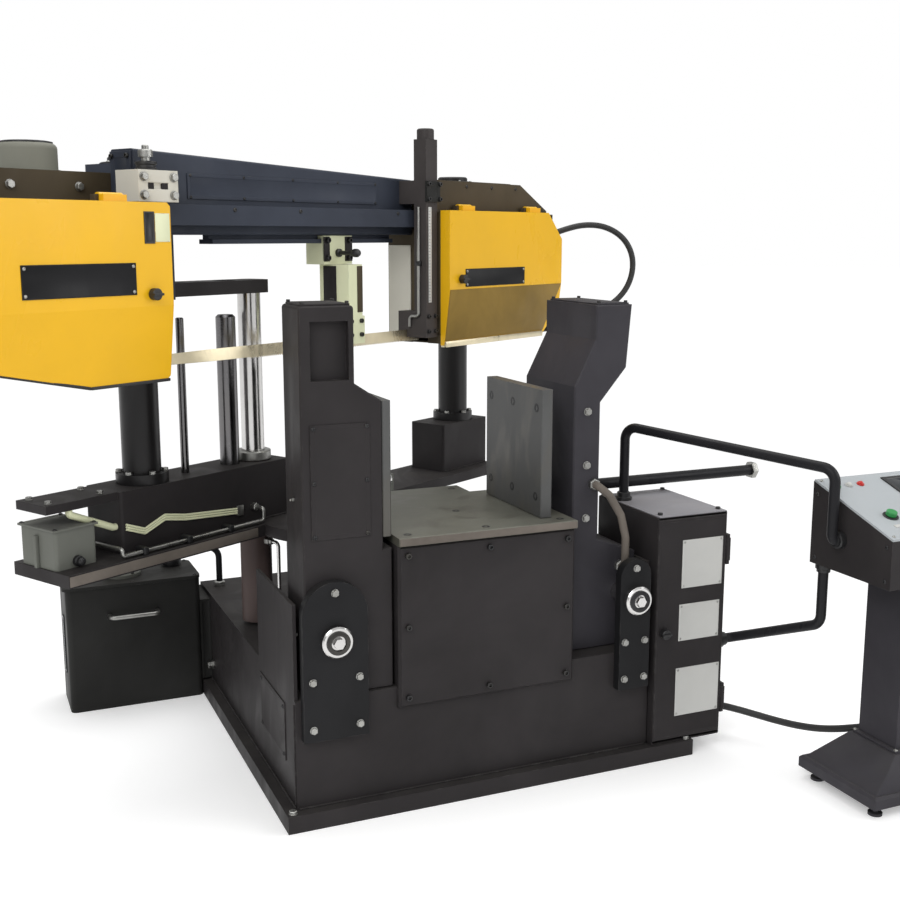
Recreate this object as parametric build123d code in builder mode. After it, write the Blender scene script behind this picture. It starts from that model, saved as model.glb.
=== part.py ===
"""Twin pillar mitre band saw: a bow on two pillars swivels over a welded base with a clamping vise.

Millimetres. The origin is the middle of the floor anchors, +X runs to the right along the front,
+Y to the back and +Z up. The bow has its own frame: u along the blade, v to the back, z up, turned
about the swivel axis by the mitre angle that it stands at.
"""
import math
import os

from build123d import *

os.makedirs("parts", exist_ok=True)

# Fits
RUNNING = 0.05
SLIDING = 0.3

# Base: plinth, walls, deck
BASE_LENGTH = 1300
BASE_DEPTH = 1320
PLINTH_HEIGHT = 50
PLINTH_RIM = 36
FLOOR_PLATE = 12
WALL = 10
DECK_TOP = 360
SIDE_TOP = 630
SIDE_STEP_Y = -230
BOX_RIGHT = 500
ANCHOR_RADIUS = 7

# Bed
BED_LEFT = -320
BED_RIGHT = 230
BED_TOP = 790
BED_PLATE = 24
BED_WEB = 20
BED_FRONT_LIP = 26
BED_SPLIT_Y = -360
BED_REAR_Y = -60
BED_CORNER_CUT = 92
BED_NOTCH_X = 105
BED_NOTCH_Y = -165
PANEL_BOTTOM = 300
PANEL = 16

# Swivel and turntable
SWIVEL_X = -250
SWIVEL_Y = 0
BOW_ANGLE = 30
PEDESTAL_RADIUS = 200
PEDESTAL_WALL = 16
FLANGE_RADIUS = 220
FLANGE = 18
TABLE_GAP = 0.3
TABLE_BOTTOM = 686
TABLE_THICK = 36
TABLE_RADIUS = 300
PIVOT_RADIUS = 40
ARM_LEFT = -1000
ARM_RIGHT = 980
ARM_FRONT = 85
ARM_REAR = 330
ARM_BOX_FRONT = 144
ARM_BOX_REAR = 300
ARM_BOX_TOP = 900
SHELF_LEFT = -1010
SHELF = 24
SHELF_INSET = 12
LEFT_BOX = (-780, -120)
RIGHT_BOX = (700, 980)

# Pillars and sleeves
PILLAR_RADIUS = 55
LEFT_PILLAR = -640
RIGHT_PILLAR = 860
PILLAR_TOP = 1812
PILLAR_FOOT_RADIUS = 75
PILLAR_FOOT = 30
SLEEVE_SIZE = 170
SLEEVE_BOTTOM = 1420
SLEEVE_TOP = 1790
BUSH_WALL = 8
BUSH_LENGTH = 90

# Bow: beam, housings, wheels, blade
BEAM_LEFT = -776
BEAM_RIGHT = 373
BEAM_FRONT = 28
BEAM_REAR = 118
BEAM_BOTTOM = 1600
BEAM_TOP = 1820
BEAM_TOP_RIGHT = 1780
BEAM_WALL = 8
BACK = 18
LEFT_HOUSING = (-1430, -800)
RIGHT_HOUSING = (378, 1070)
HOUSING_BOTTOM = 1240
HOUSING_TOP = 1675
HOUSING_FRONT = -90
SHEET = 5
LEFT_BACK_TOP = 1760
COVER_SLOPE = 0.22
COVER_SLOPE_U = -1040
HOOD_FRONT = -62
HOOD_TOP = 1778
HOOD_SLOPE_U = 890
HOOD_END_Z = 1688
WHEEL_RADIUS = 190
WHEEL_WIDTH = 36
WHEEL_RIM = 26
WHEEL_WEB = 14
WHEEL_HOLE = 36.8
WHEEL_HOLES = 5
HUB_RADIUS = 46
HUB_LENGTH = 64
SHAFT_RADIUS = 25
LEFT_WHEEL = -1110
RIGHT_WHEEL = 720
DRIVE_REACH = 60
WHEEL_Z = 1462
BLADE = 1.2
BLADE_WIDTH = 34
BLADE_SEAT = 0.3
TWIST_LEFT = -420
TWIST_RIGHT = 372
TWIST_STEPS = 6
FLAT_LEAD = 60

# Doors
DOOR_GAP = 2
DOOR_DEPTH = 38
DOOR_SHEET = 4
DOOR_LAP = 5
CREASE_Z = 1425
CREASE_TAPER = 24
RIGHT_DOOR_CORNER = 95
HINGE_PIN = 6
HINGE_TUBE = 11
HINGE_LENGTH = 70
HINGE_LUG = 12
HINGE_V = -80
HINGE_RISE = 16
LATCH_RADIUS = 15
LATCH_STEM = 6
LATCH_HEAD = 20
LATCH_INSET = 60

# Chip brush over the blade
BRUSH_RADIUS = 38
BRUSH_SHAFT = 8
BRUSH_INSET = 90
BRUSH_AIR = 2

# Guard, drive and brackets on the bow
GUARD_ROOM = 11
GUARD_SHEET = 3
GUARD_BOTTOM = 1625
GUARD_TOP = 1680
GEARBOX = (-1200, -880)
GEARBOX_REAR = 300
GEARBOX_BOTTOM = 1385
GEARBOX_TOP = 1545
MOTOR_SHIFT = 80
MOTOR_RADIUS = 76
MOTOR_TOP = 1830
MOTOR_FIN = 6
MOTOR_FINS = 8
MOTOR_FIN_PITCH = 24
TENSION = (-834, -710)
TENSION_FRONT = -60
TENSION_BOTTOM = 1684
TENSION_TOP = 1760
TENSION_SLOT = 26

# Blade guides
RAIL_FRONT = 45
RAIL_REAR = 100
RAIL_HEIGHT = 25
RAIL_NECK = 12
RAIL_LIP = 15
RAIL_ENDS = (-500, 290)
CARRIAGE_LENGTH = 130
CARRIAGE_HEIGHT = 88
LEFT_GUIDE = 10
RIGHT_GUIDE = 336
GUIDE_HALF = 32
GUIDE_HEAD_DEPTH = 70
GUIDE_HEAD_BOTTOM = 1264
GUIDE_HEAD_TOP = 1350
POST_FRONT = -84
POST_REAR = -34
POST_TOP = 1905
POST_HALF = 30
POST_BRACKET_BOTTOM = 1700
POST_BRACKET_TOP = 1775
GUIDE_ROOM = 0.6
SLOT_ROOM = 1.5
GUIDE_AIR = 2
KNOB_RADIUS = 28
KNOB_HEIGHT = 34

# Lift cylinder and rods beside it
LIFT_U = -200
LIFT_ROD = 36
LIFT_BARREL = 50
LIFT_BARREL_BOTTOM = 372
LIFT_BARREL_TOP = 930
LIFT_BRACKET_BOTTOM = 1425
LIFT_BRACKET_TOP = 1465
LIFT_BRACKET_HALF = 50
LIFT_ENGAGED = 62
SIDE_RODS = ((-300, 30), (-480, 12))
SIDE_ROD_TOP = 1362
ROD_CLEARANCE = 6

# Left jaw tower
LEFT_TOWER = (-580, -330)
LEFT_TOWER_FRONT = -616
LEFT_TOWER_REAR = -462
LEFT_HORN_RIGHT = -430
JAW_TOP = 1165
TOWER_TOP = 1420
JAW_PLATE = 24
LEFT_HUB_X = -506
HUB_Z = 530
FOOT_HALF_LEFT = 92
SCREW_RADIUS = 32
SCREW_NOSE = 24
SCREW_FLANGE = 44
SCREW_SPARE = 60
BEARING_PLATE = 30
BEARING_BOTTOM = 250
ARCH_RISE = 70
TOWER_AIR = 8
TOWER_EDGE = 4
HORN_RAMP = 50
LEFT_JAW_REAR = -200
JAW_AIR = 2
POCKET_MARGIN = 30
POCKET_DEPTH = 24
POCKET_BOTTOM = 1225
POCKET_TOP = 1380

# Right jaw tower
RIGHT_TOWER = (262, 395)
RIGHT_TOWER_FRONT = -560
RIGHT_TOWER_REAR = -250
RIGHT_HORN = (330, 450)
RIGHT_TOWER_TOP = 1400
HORN_FLARE = 100
HORN_LEAN = 15
RIGHT_JAW = (140, 176)
RIGHT_JAW_FRONT = -590
RIGHT_JAW_REAR = -215
RIGHT_HUB_X = 430
FOOT_HALF_RIGHT = 52
VISE_ROD_RADIUS = 18
VISE_ROD_Y = -330
VISE_ROD_Z = 815
VISE_ROD_END = 1097

# Rest roller behind the blade
ROLLER_RADIUS = 25
ROLLER_V = 105
ROLLER_ENDS = (-60, 320)
ROLLER_JOURNAL = 9
ROLLER_BRACKET = 16

# Cabinet
CABINET = (504, 752)
CABINET_FRONT = -648
CABINET_REAR = -300
CABINET_TOP = 770
CABINET_SHEET = 4
CABINET_DOOR = 6
CABINET_MARGIN = 14
CABINET_HINGE = 7
CABINET_PIN = 4
CABINET_HINGE_INSET = 120

# Hydraulic unit, coolant tank, swivel motor
UNIT = (504, BASE_LENGTH / 2)
UNIT_Y = (-285, 420)
UNIT_TOP = 450
PUMP_RADIUS = 62
PUMP_INSET = 60
TANK_LENGTH = 450
TANK_Y = (440, 650)
TANK_TOP = 440
SWIVEL_MOTOR = (-995, -865)
SWIVEL_MOTOR_TOP = 828

# Console
CONSOLE_X = (855, 1295)
CONSOLE_Y = (-1230, -910)
CONSOLE_FOOT = 35
CONSOLE_FOOT_Z = 34
COLUMN_SIZE = 150
HEAD_BOTTOM = 665
HEAD_FRONT_TOP = 800
HEAD_REAR_TOP = 905
HEAD_SHEET = 4
PANEL_SHEET = 6
PANEL_ROW = 110
PANEL_PITCH = 90
STOP_ROW = 235
BUTTON_STEM = 8
BUTTON_TRAVEL = 4
BUTTON_DEPTH = 22
FEET_RADIUS = 20
FEET_INSET = 40
FEET_STEM = 8
CONDUIT_RADIUS = 15

# Hose loop on the bow, in the bow's frame
HOSE_RADIUS = 11
HOSE_ROUTE = (
    (1090, -50, 1595), (1133, -105, 1622), (1183, -167, 1640), (1231, -228, 1632), (1274, -281, 1592),
    (1297, -311, 1525), (1297, -311, 1448), (1277, -286, 1378), (1239, -237, 1326), (1191, -177, 1298),
    (1140, -112, 1296), (1090, -50, 1315),
)
STUB_WALL = 4
STUB_LENGTH = 55

# Flexible conduit slung low to the console, and the rigid conduits
FLOOR_ROUTE = (
    (766, -560, 112), (812, -570, 104), (856, -598, 94), (896, -642, 86), (931, -698, 82),
    (962, -760, 84), (990, -825, 94), (1014, -885, 112), (1032, -938, 134), (1040, -979, 152),
)
FLOOR_STUB = 25
CONDUIT_BEND = 40
UPPER_CONDUIT = (535, -400, 1010)
UPPER_CONDUIT_END = (822, -1035, 962)
UPPER_CONDUIT_ENTRY = 760
LOWER_CONDUIT = (800, -620, 350)
LOWER_CONDUIT_END = (885, -936, 480)

# Frames
ANGLE = math.radians(BOW_ANGLE)
ALONG = (math.cos(ANGLE), math.sin(ANGLE), 0)
BACKWARD = (-math.sin(ANGLE), math.cos(ANGLE), 0)
FORWARD = (math.sin(ANGLE), -math.cos(ANGLE), 0)
SWIVEL = (SWIVEL_X, SWIVEL_Y, 0)
BOW = Plane(origin=SWIVEL, x_dir=ALONG, z_dir=(0, 0, 1))
BOW_FACE = Plane(origin=SWIVEL, x_dir=ALONG, z_dir=FORWARD)
BOW_SECTION = Plane(origin=SWIVEL, x_dir=BACKWARD, z_dir=ALONG)

# Places that follow from the sizes above
HALF_X = BASE_LENGTH / 2
HALF_Y = BASE_DEPTH / 2
WALL_LEFT = -HALF_X + PLINTH_RIM
WALL_Y = HALF_Y - PLINTH_RIM
BED_UNDER = BED_TOP - BED_PLATE
TABLE_TOP = TABLE_BOTTOM + TABLE_THICK
SLEEVE_FRONT = BEAM_REAR + BACK
PILLAR_V = SLEEVE_FRONT + SLEEVE_SIZE / 2
DOOR_BACK = HOUSING_FRONT - DOOR_GAP
DOOR_FRONT = DOOR_BACK - DOOR_DEPTH
HINGE_Z = HOUSING_TOP + HINGE_RISE
RUN_RADIUS = WHEEL_RADIUS + BLADE_SEAT
LOWER_RUN_Z = WHEEL_Z - RUN_RADIUS - BLADE / 2
UPPER_RUN_Z = WHEEL_Z + RUN_RADIUS + BLADE / 2
BED_WEB_REAR = SWIVEL_Y - TABLE_RADIUS - BED_WEB
GUIDE_SLOT_TOP = LOWER_RUN_Z + BLADE_WIDTH / 2 + SLOT_ROOM
LATCH_Z = CREASE_Z + 2 * LATCH_RADIUS
LEFT_LATCH_U = LEFT_HOUSING[1] - LATCH_INSET
RIGHT_LATCH_U = RIGHT_HOUSING[0] + LATCH_INSET
BRUSH_U = RIGHT_HOUSING[0] + BRUSH_INSET
BRUSH_Z = LOWER_RUN_Z + BLADE_WIDTH / 2 + BRUSH_RADIUS + BRUSH_AIR
LIFT_ROD_BOTTOM = LIFT_BARREL_TOP - LIFT_ENGAGED
TURNS = {"X": (0, 90, 0), "Y": (90, 0, 0), "Z": (0, 0, 0)}


def block(low, high, mode=Mode.ADD):
    """Add a box between two opposite corners on the current workplane."""
    middle = tuple((a + b) / 2 for a, b in zip(low, high))
    with Locations(Location(middle)):
        Box(*(b - a for a, b in zip(low, high)), mode=mode)


def bar(start, end, radius, axis, mode=Mode.ADD):
    """Add a round bar between two points that lie along one axis of the current workplane."""
    middle = tuple((a + b) / 2 for a, b in zip(start, end))
    length = sum(abs(b - a) for a, b in zip(start, end))
    with Locations(Location(middle, TURNS[axis])):
        Cylinder(radius, length, mode=mode)


def save(piece, name):
    """Label one finished piece and write it."""
    piece.part.label = name
    export_step(piece.part, f"parts/{name}.step")


def save_group(pieces, name):
    """Write several separate solids as one node."""
    group = Compound(label=name, children=[piece.part for piece in pieces])
    export_step(group, f"parts/{name}.step")


def tube(points, radii, radius, name):
    """Sweep a round section along straight runs joined by tangent arcs, and write it."""
    with BuildPart() as piece:
        with BuildLine() as path:
            FilletPolyline(*points, radius=radii)
        route = path.wire()
        with BuildSketch(Plane(origin=route @ 0, z_dir=route % 0)):
            Circle(radius)
        sweep(path=route)
    print(name, "length", round(route.length, 1), "volume ratio",
          round(piece.part.volume / (math.pi * radius ** 2 * route.length), 4))
    return piece


def bend_radii(points):
    """Give each corner the largest radius that its two runs allow."""
    radii = []
    for before, corner, after in zip(points, points[1:], points[2:]):
        run_in = Vector(*corner) - Vector(*before)
        run_out = Vector(*after) - Vector(*corner)
        turn = math.radians(run_in.get_angle(run_out))
        radii.append(0.45 * min(run_in.length, run_out.length) / math.tan(turn / 2))
    print("bend radii", [round(r) for r in radii])
    return radii


# Base: a plinth tray, four walls, a deck, the bed on its webs
with BuildPart() as plinth:
    block((-HALF_X, -HALF_Y, 0), (HALF_X, HALF_Y, PLINTH_HEIGHT))
    block((WALL_LEFT, -WALL_Y, FLOOR_PLATE), (-WALL_LEFT, WALL_Y, PLINTH_HEIGHT), Mode.SUBTRACT)
    with GridLocations(BASE_LENGTH - PLINTH_RIM, BASE_DEPTH - PLINTH_RIM, 2, 2):
        Cylinder(ANCHOR_RADIUS, 3 * PLINTH_HEIGHT, mode=Mode.SUBTRACT)
save(plinth, "base_plinth")

with BuildPart() as front_wall:
    block((WALL_LEFT, -WALL_Y, FLOOR_PLATE), (BOX_RIGHT, -WALL_Y + WALL, DECK_TOP))
with BuildPart() as rear_wall:
    block((WALL_LEFT, WALL_Y - WALL, FLOOR_PLATE), (BOX_RIGHT, WALL_Y, DECK_TOP))
side_walls = []
for side_x in (WALL_LEFT, BOX_RIGHT - WALL):
    with BuildPart() as side_wall:
        block((side_x, -WALL_Y + WALL, FLOOR_PLATE), (side_x + WALL, WALL_Y - WALL, DECK_TOP))
        block((side_x, -WALL_Y + WALL, DECK_TOP), (side_x + WALL, SIDE_STEP_Y, SIDE_TOP))
    side_walls.append(side_wall)
save_group([front_wall, rear_wall, *side_walls], "base_walls")

with BuildPart() as deck:
    block((WALL_LEFT + WALL, -WALL_Y + WALL, DECK_TOP - WALL), (BOX_RIGHT - WALL, WALL_Y - WALL, DECK_TOP))
save(deck, "base_deck")

with BuildPart() as front_panel:
    block((BED_LEFT, -WALL_Y - PANEL, PANEL_BOTTOM), (BED_RIGHT, -WALL_Y, BED_UNDER))
    chamfer(front_panel.faces().sort_by(Axis.Y)[0].edges(), PANEL / 2)
save(front_panel, "front_panel")

webs = []
for web_x in (BED_LEFT, BED_RIGHT - BED_WEB):
    with BuildPart() as web:
        block((web_x, -WALL_Y, DECK_TOP), (web_x + BED_WEB, BED_WEB_REAR, BED_UNDER))
    webs.append(web)
with BuildPart() as cross_web:
    block((BED_LEFT + BED_WEB, BED_WEB_REAR - BED_WEB, DECK_TOP),
          (BED_RIGHT - BED_WEB, BED_WEB_REAR, BED_UNDER))
save_group([*webs, cross_web], "bed_webs")

with BuildPart() as bed_front_plate:
    block((BED_LEFT, -WALL_Y - BED_FRONT_LIP, BED_UNDER), (BED_RIGHT, BED_SPLIT_Y, BED_TOP))
    chamfer(bed_front_plate.edges().filter_by(Axis.X).group_by(Axis.Y)[0], BED_PLATE / 8)
save(bed_front_plate, "bed_front_plate")

with BuildPart() as bed_rear_plate:
    with BuildSketch(Plane.XY.offset(BED_UNDER)):
        with BuildLine():
            Polyline(
                (BED_LEFT, BED_SPLIT_Y), (BED_RIGHT, BED_SPLIT_Y), (BED_RIGHT, BED_NOTCH_Y),
                (BED_NOTCH_X, BED_NOTCH_Y), (BED_NOTCH_X, BED_REAR_Y),
                (BED_LEFT + BED_CORNER_CUT, BED_REAR_Y),
                (BED_LEFT, BED_REAR_Y - BED_CORNER_CUT), close=True,
            )
        make_face()
    extrude(amount=BED_PLATE)
save(bed_rear_plate, "bed_rear_plate")

# Swivel pedestal and the turntable that carries the pillars
with BuildPart() as pedestal:
    with Locations((SWIVEL_X, SWIVEL_Y, DECK_TOP)):
        bottom_up = (Align.CENTER, Align.CENTER, Align.MIN)
        Cylinder(PEDESTAL_RADIUS, TABLE_BOTTOM - TABLE_GAP - DECK_TOP, align=bottom_up)
        Cylinder(PEDESTAL_RADIUS - PEDESTAL_WALL, TABLE_BOTTOM - TABLE_GAP - DECK_TOP - FLANGE,
                 align=bottom_up, mode=Mode.SUBTRACT)
    with Locations((SWIVEL_X, SWIVEL_Y, TABLE_BOTTOM - TABLE_GAP)):
        Cylinder(FLANGE_RADIUS, FLANGE, align=(Align.CENTER, Align.CENTER, Align.MAX))
        Cylinder(PIVOT_RADIUS, TABLE_THICK, align=bottom_up)
save(pedestal, "pivot_pedestal")

with BuildPart(BOW) as table:
    bar((0, 0, TABLE_BOTTOM), (0, 0, TABLE_TOP), TABLE_RADIUS, "Z")
    block((ARM_LEFT, ARM_FRONT, TABLE_BOTTOM), (ARM_RIGHT, ARM_REAR, TABLE_TOP))
    bar((0, 0, 0), (0, 0, BED_TOP), PIVOT_RADIUS + RUNNING, "Z", Mode.SUBTRACT)
    bar((LIFT_U, PILLAR_V, 0), (LIFT_U, PILLAR_V, BED_TOP), LIFT_BARREL, "Z", Mode.SUBTRACT)
save(table, "turntable")

arm_boxes = []
for box_ends in (LEFT_BOX, RIGHT_BOX):
    with BuildPart(BOW) as arm_box:
        block((box_ends[0], ARM_BOX_FRONT, TABLE_TOP), (box_ends[1], ARM_BOX_REAR, ARM_BOX_TOP))
        fillet(arm_box.edges().filter_by(Axis.Z), WALL)
        if box_ends == LEFT_BOX:
            block((SHELF_LEFT, ARM_BOX_FRONT + SHELF_INSET, ARM_BOX_TOP - SHELF),
                  (LEFT_BOX[0] + WALL, ARM_BOX_REAR - SHELF_INSET, ARM_BOX_TOP))
        bar((LIFT_U, PILLAR_V, 0), (LIFT_U, PILLAR_V, BED_TOP + ARM_BOX_TOP), LIFT_BARREL, "Z",
            Mode.SUBTRACT)
    arm_boxes.append(arm_box)
save_group(arm_boxes, "arm_boxes")

pillars = []
for pillar_u in (LEFT_PILLAR, RIGHT_PILLAR):
    with BuildPart(BOW) as pillar:
        bar((pillar_u, PILLAR_V, ARM_BOX_TOP), (pillar_u, PILLAR_V, PILLAR_TOP), PILLAR_RADIUS, "Z")
        chamfer(pillar.edges().sort_by(Axis.Z)[-1], PILLAR_RADIUS / 12)
        bar((pillar_u, PILLAR_V, ARM_BOX_TOP), (pillar_u, PILLAR_V, ARM_BOX_TOP + PILLAR_FOOT),
            PILLAR_FOOT_RADIUS, "Z")
    pillars.append(pillar)
save_group(pillars, "pillars")

with BuildPart(BOW) as lift_barrel:
    bar((LIFT_U, PILLAR_V, LIFT_BARREL_BOTTOM), (LIFT_U, PILLAR_V, LIFT_BARREL_TOP), LIFT_BARREL, "Z")
    bar((LIFT_U, PILLAR_V, LIFT_BARREL_BOTTOM + FLOOR_PLATE), (LIFT_U, PILLAR_V, LIFT_BARREL_TOP),
        LIFT_ROD + RUNNING, "Z", Mode.SUBTRACT)
save(lift_barrel, "lift_barrel")

side_rods = []
for rod_u, rod_radius in SIDE_RODS:
    with BuildPart(BOW) as side_rod:
        bar((rod_u, PILLAR_V, ARM_BOX_TOP), (rod_u, PILLAR_V, SIDE_ROD_TOP), rod_radius, "Z")
        chamfer(side_rod.edges().sort_by(Axis.Z)[-1], rod_radius / 4)
    side_rods.append(side_rod)
save_group(side_rods, "side_rods")

with BuildPart(BOW) as swivel_motor:
    block((SWIVEL_MOTOR[0], ARM_BOX_FRONT, TABLE_TOP), (SWIVEL_MOTOR[1], ARM_BOX_REAR, SWIVEL_MOTOR_TOP))
    fillet(swivel_motor.edges().filter_by(Axis.Z), WALL)
save(swivel_motor, "swivel_motor")

roller_brackets = []
for inner_end, outward in ((ROLLER_ENDS[0], -1), (ROLLER_ENDS[1], 1)):
    bracket_ends = sorted((inner_end + outward * SLIDING, inner_end + outward * (SLIDING + ROLLER_BRACKET)))
    with BuildPart(BOW) as roller_bracket:
        block((bracket_ends[0], ROLLER_V - ROLLER_JOURNAL * 2, TABLE_TOP),
              (bracket_ends[1], ROLLER_V + ROLLER_JOURNAL * 2, BED_TOP - ROLLER_JOURNAL))
        bar((bracket_ends[0], ROLLER_V, BED_TOP - ROLLER_RADIUS),
            (bracket_ends[1], ROLLER_V, BED_TOP - ROLLER_RADIUS),
            ROLLER_JOURNAL + RUNNING, "X", Mode.SUBTRACT)
    roller_brackets.append(roller_bracket)
save_group(roller_brackets, "roller_brackets")

with BuildPart(BOW) as rest_roller:
    axle_z = BED_TOP - ROLLER_RADIUS
    bar((ROLLER_ENDS[0], ROLLER_V, axle_z), (ROLLER_ENDS[1], ROLLER_V, axle_z), ROLLER_RADIUS, "X")
    bar((ROLLER_ENDS[0] - ROLLER_BRACKET, ROLLER_V, axle_z),
        (ROLLER_ENDS[1] + ROLLER_BRACKET, ROLLER_V, axle_z),
        ROLLER_JOURNAL, "X")
save(rest_roller, "rest_roller")


def slab(outline, rear, front, mode=Mode.ADD):
    """Add a plate of the outline, drawn in the bow's face, from one place along v to another."""
    with BuildSketch(BOW_FACE.offset(-rear)) as face:
        with BuildLine():
            Polyline(*outline, close=True)
        make_face()
    extrude(face.sketch, amount=rear - front, mode=mode)


def beam_outline(inset):
    """Give the beam's outline in the bow's face, drawn in at the bottom and the sloping top."""
    return ((BEAM_LEFT, BEAM_BOTTOM + inset), (BEAM_RIGHT, BEAM_BOTTOM + inset),
            (BEAM_RIGHT, BEAM_TOP_RIGHT - inset), (BEAM_LEFT, BEAM_TOP - inset))


# Bow: box beam with the guide rail, sleeves and bushes on the pillars
with BuildPart(BOW) as beam:
    slab(beam_outline(0), BEAM_REAR, BEAM_FRONT)
    fillet(beam.edges().filter_by(lambda edge: edge.length > BEAM_RIGHT - BEAM_LEFT - 1), BEAM_WALL)
    slab(beam_outline(BEAM_WALL), BEAM_REAR - BEAM_WALL, BEAM_FRONT + BEAM_WALL, Mode.SUBTRACT)
    block((RAIL_ENDS[0], RAIL_FRONT, BEAM_BOTTOM - RAIL_HEIGHT),
          (RAIL_ENDS[1], RAIL_REAR, BEAM_BOTTOM - RAIL_NECK))
    block((RAIL_ENDS[0], RAIL_FRONT + RAIL_LIP, BEAM_BOTTOM - RAIL_NECK),
          (RAIL_ENDS[1], RAIL_REAR - RAIL_LIP, BEAM_BOTTOM))
save(beam, "beam")

sleeves, bushes = [], []
for pillar_u in (LEFT_PILLAR, RIGHT_PILLAR):
    bush_radius = PILLAR_RADIUS + RUNNING + BUSH_WALL
    with BuildPart(BOW) as sleeve:
        block((pillar_u - SLEEVE_SIZE / 2, SLEEVE_FRONT, SLEEVE_BOTTOM),
              (pillar_u + SLEEVE_SIZE / 2, SLEEVE_FRONT + SLEEVE_SIZE, SLEEVE_TOP))
        fillet(sleeve.edges().filter_by(Axis.Z), SLEEVE_SIZE / 12)
        bar((pillar_u, PILLAR_V, 0), (pillar_u, PILLAR_V, 2 * SLEEVE_TOP), bush_radius, "Z", Mode.SUBTRACT)
    sleeves.append(sleeve)
    for bush_bottom in (SLEEVE_BOTTOM, SLEEVE_TOP - BUSH_LENGTH):
        with BuildPart(BOW) as bush:
            bar((pillar_u, PILLAR_V, bush_bottom),
                (pillar_u, PILLAR_V, bush_bottom + BUSH_LENGTH), bush_radius, "Z")
            bar((pillar_u, PILLAR_V, 0), (pillar_u, PILLAR_V, 2 * SLEEVE_TOP), PILLAR_RADIUS + RUNNING, "Z",
                Mode.SUBTRACT)
        bushes.append(bush)
save_group(sleeves, "pillar_sleeves")
save_group(bushes, "sleeve_bushes")


def stub(end, following, length):
    """Add a round stub that a hose starts from, in line with the hose's first run."""
    outward = (Vector(*following) - Vector(*end)).normalized()
    middle = Vector(*end) - outward * (length / 2)
    with Locations(Plane(origin=middle, z_dir=outward).location):
        Cylinder(HOSE_RADIUS + STUB_WALL, length)


def cover_outline(ends, slope_u, grow, corner=0):
    """Give a wheel cover's outline in the bow's face, grown outward.

    The right corners are cut off if a corner is given, and the bottom rises to the left of slope_u.
    """
    left, right = ends[0] - grow, ends[1] + grow
    low, high = HOUSING_BOTTOM - grow, HOUSING_TOP + grow
    points = [(right, low), (right, high), (left, high)]
    if corner:
        points = [(right - corner, low), (right, low + corner), (right, high - corner),
                  (right - corner, high), (left, high)]
    if slope_u > left:
        return points + [(left, low + COVER_SLOPE * (slope_u - left)), (slope_u, low)]
    return points + [(left, low)]


def hood_outline(inset):
    """Give the outline of the hood on top of the right housing, drawn in and open to the housing below."""
    left, right = RIGHT_HOUSING[0] + inset, RIGHT_HOUSING[1] - inset
    return ((left, HOUSING_TOP - SHEET - inset), (right, HOUSING_TOP - SHEET - inset),
            (right, HOOD_END_Z - inset), (HOOD_SLOPE_U, HOOD_TOP - inset), (left, HOOD_TOP - inset))


def housing(ends, slope_u, wheel_u, inner_u, back_outline, hooded, stubs, name):
    """Make one wheel housing: a back plate, a rim open to the front, a shaft boss and the hinge pins.

    The hooded one has a hood on top and a bore for the chip brush.
    """
    with BuildPart(BOW) as box:
        slab(back_outline, SLEEVE_FRONT, BEAM_REAR)
        slab(cover_outline(ends, slope_u, 0), BEAM_REAR, HOUSING_FRONT)
        slab(cover_outline(ends, slope_u, -SHEET), BEAM_REAR, HOUSING_FRONT, Mode.SUBTRACT)
        if hooded:
            slab(hood_outline(0), BEAM_REAR, HOOD_FRONT)
            slab(hood_outline(SHEET), BEAM_REAR, HOOD_FRONT + SHEET, Mode.SUBTRACT)
        for run_z in (LOWER_RUN_Z, UPPER_RUN_Z):
            block((inner_u - 2 * SHEET, -BLADE_WIDTH, run_z - BLADE_WIDTH),
                  (inner_u + 2 * SHEET, BLADE_WIDTH,
                  run_z + BLADE_WIDTH), Mode.SUBTRACT)
        bar((wheel_u, HUB_LENGTH, WHEEL_Z), (wheel_u, BEAM_REAR, WHEEL_Z), HUB_RADIUS, "Y")
        bar((wheel_u, 0, WHEEL_Z), (wheel_u, 2 * BEAM_REAR, WHEEL_Z), SHAFT_RADIUS + RUNNING, "Y",
            Mode.SUBTRACT)
        if hooded:
            bar((BRUSH_U, 0, BRUSH_Z), (BRUSH_U, 2 * BEAM_REAR, BRUSH_Z), BRUSH_SHAFT + RUNNING, "Y",
                Mode.SUBTRACT)
        for hinge_u in hinge_places(ends):
            reach = HINGE_LENGTH / 2 + SLIDING
            for lug_u in (hinge_u - reach - HINGE_LUG, hinge_u + reach):
                block((lug_u, HINGE_V - HINGE_PIN, HOUSING_TOP - SHEET),
                      (lug_u + HINGE_LUG, HINGE_V + HINGE_TUBE,
                      HINGE_Z + HINGE_PIN))
            bar((hinge_u - reach, HINGE_V, HINGE_Z), (hinge_u + reach, HINGE_V, HINGE_Z), HINGE_PIN, "X")
        for stub_end, hose_next in stubs:
            stub(stub_end, hose_next, STUB_LENGTH)
    save(box, name)


def hinge_places(ends):
    """Give the places along the bow of a door's two hinges."""
    return (ends[0] + 2 * HINGE_LENGTH, ends[1] - 2 * HINGE_LENGTH)


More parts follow.
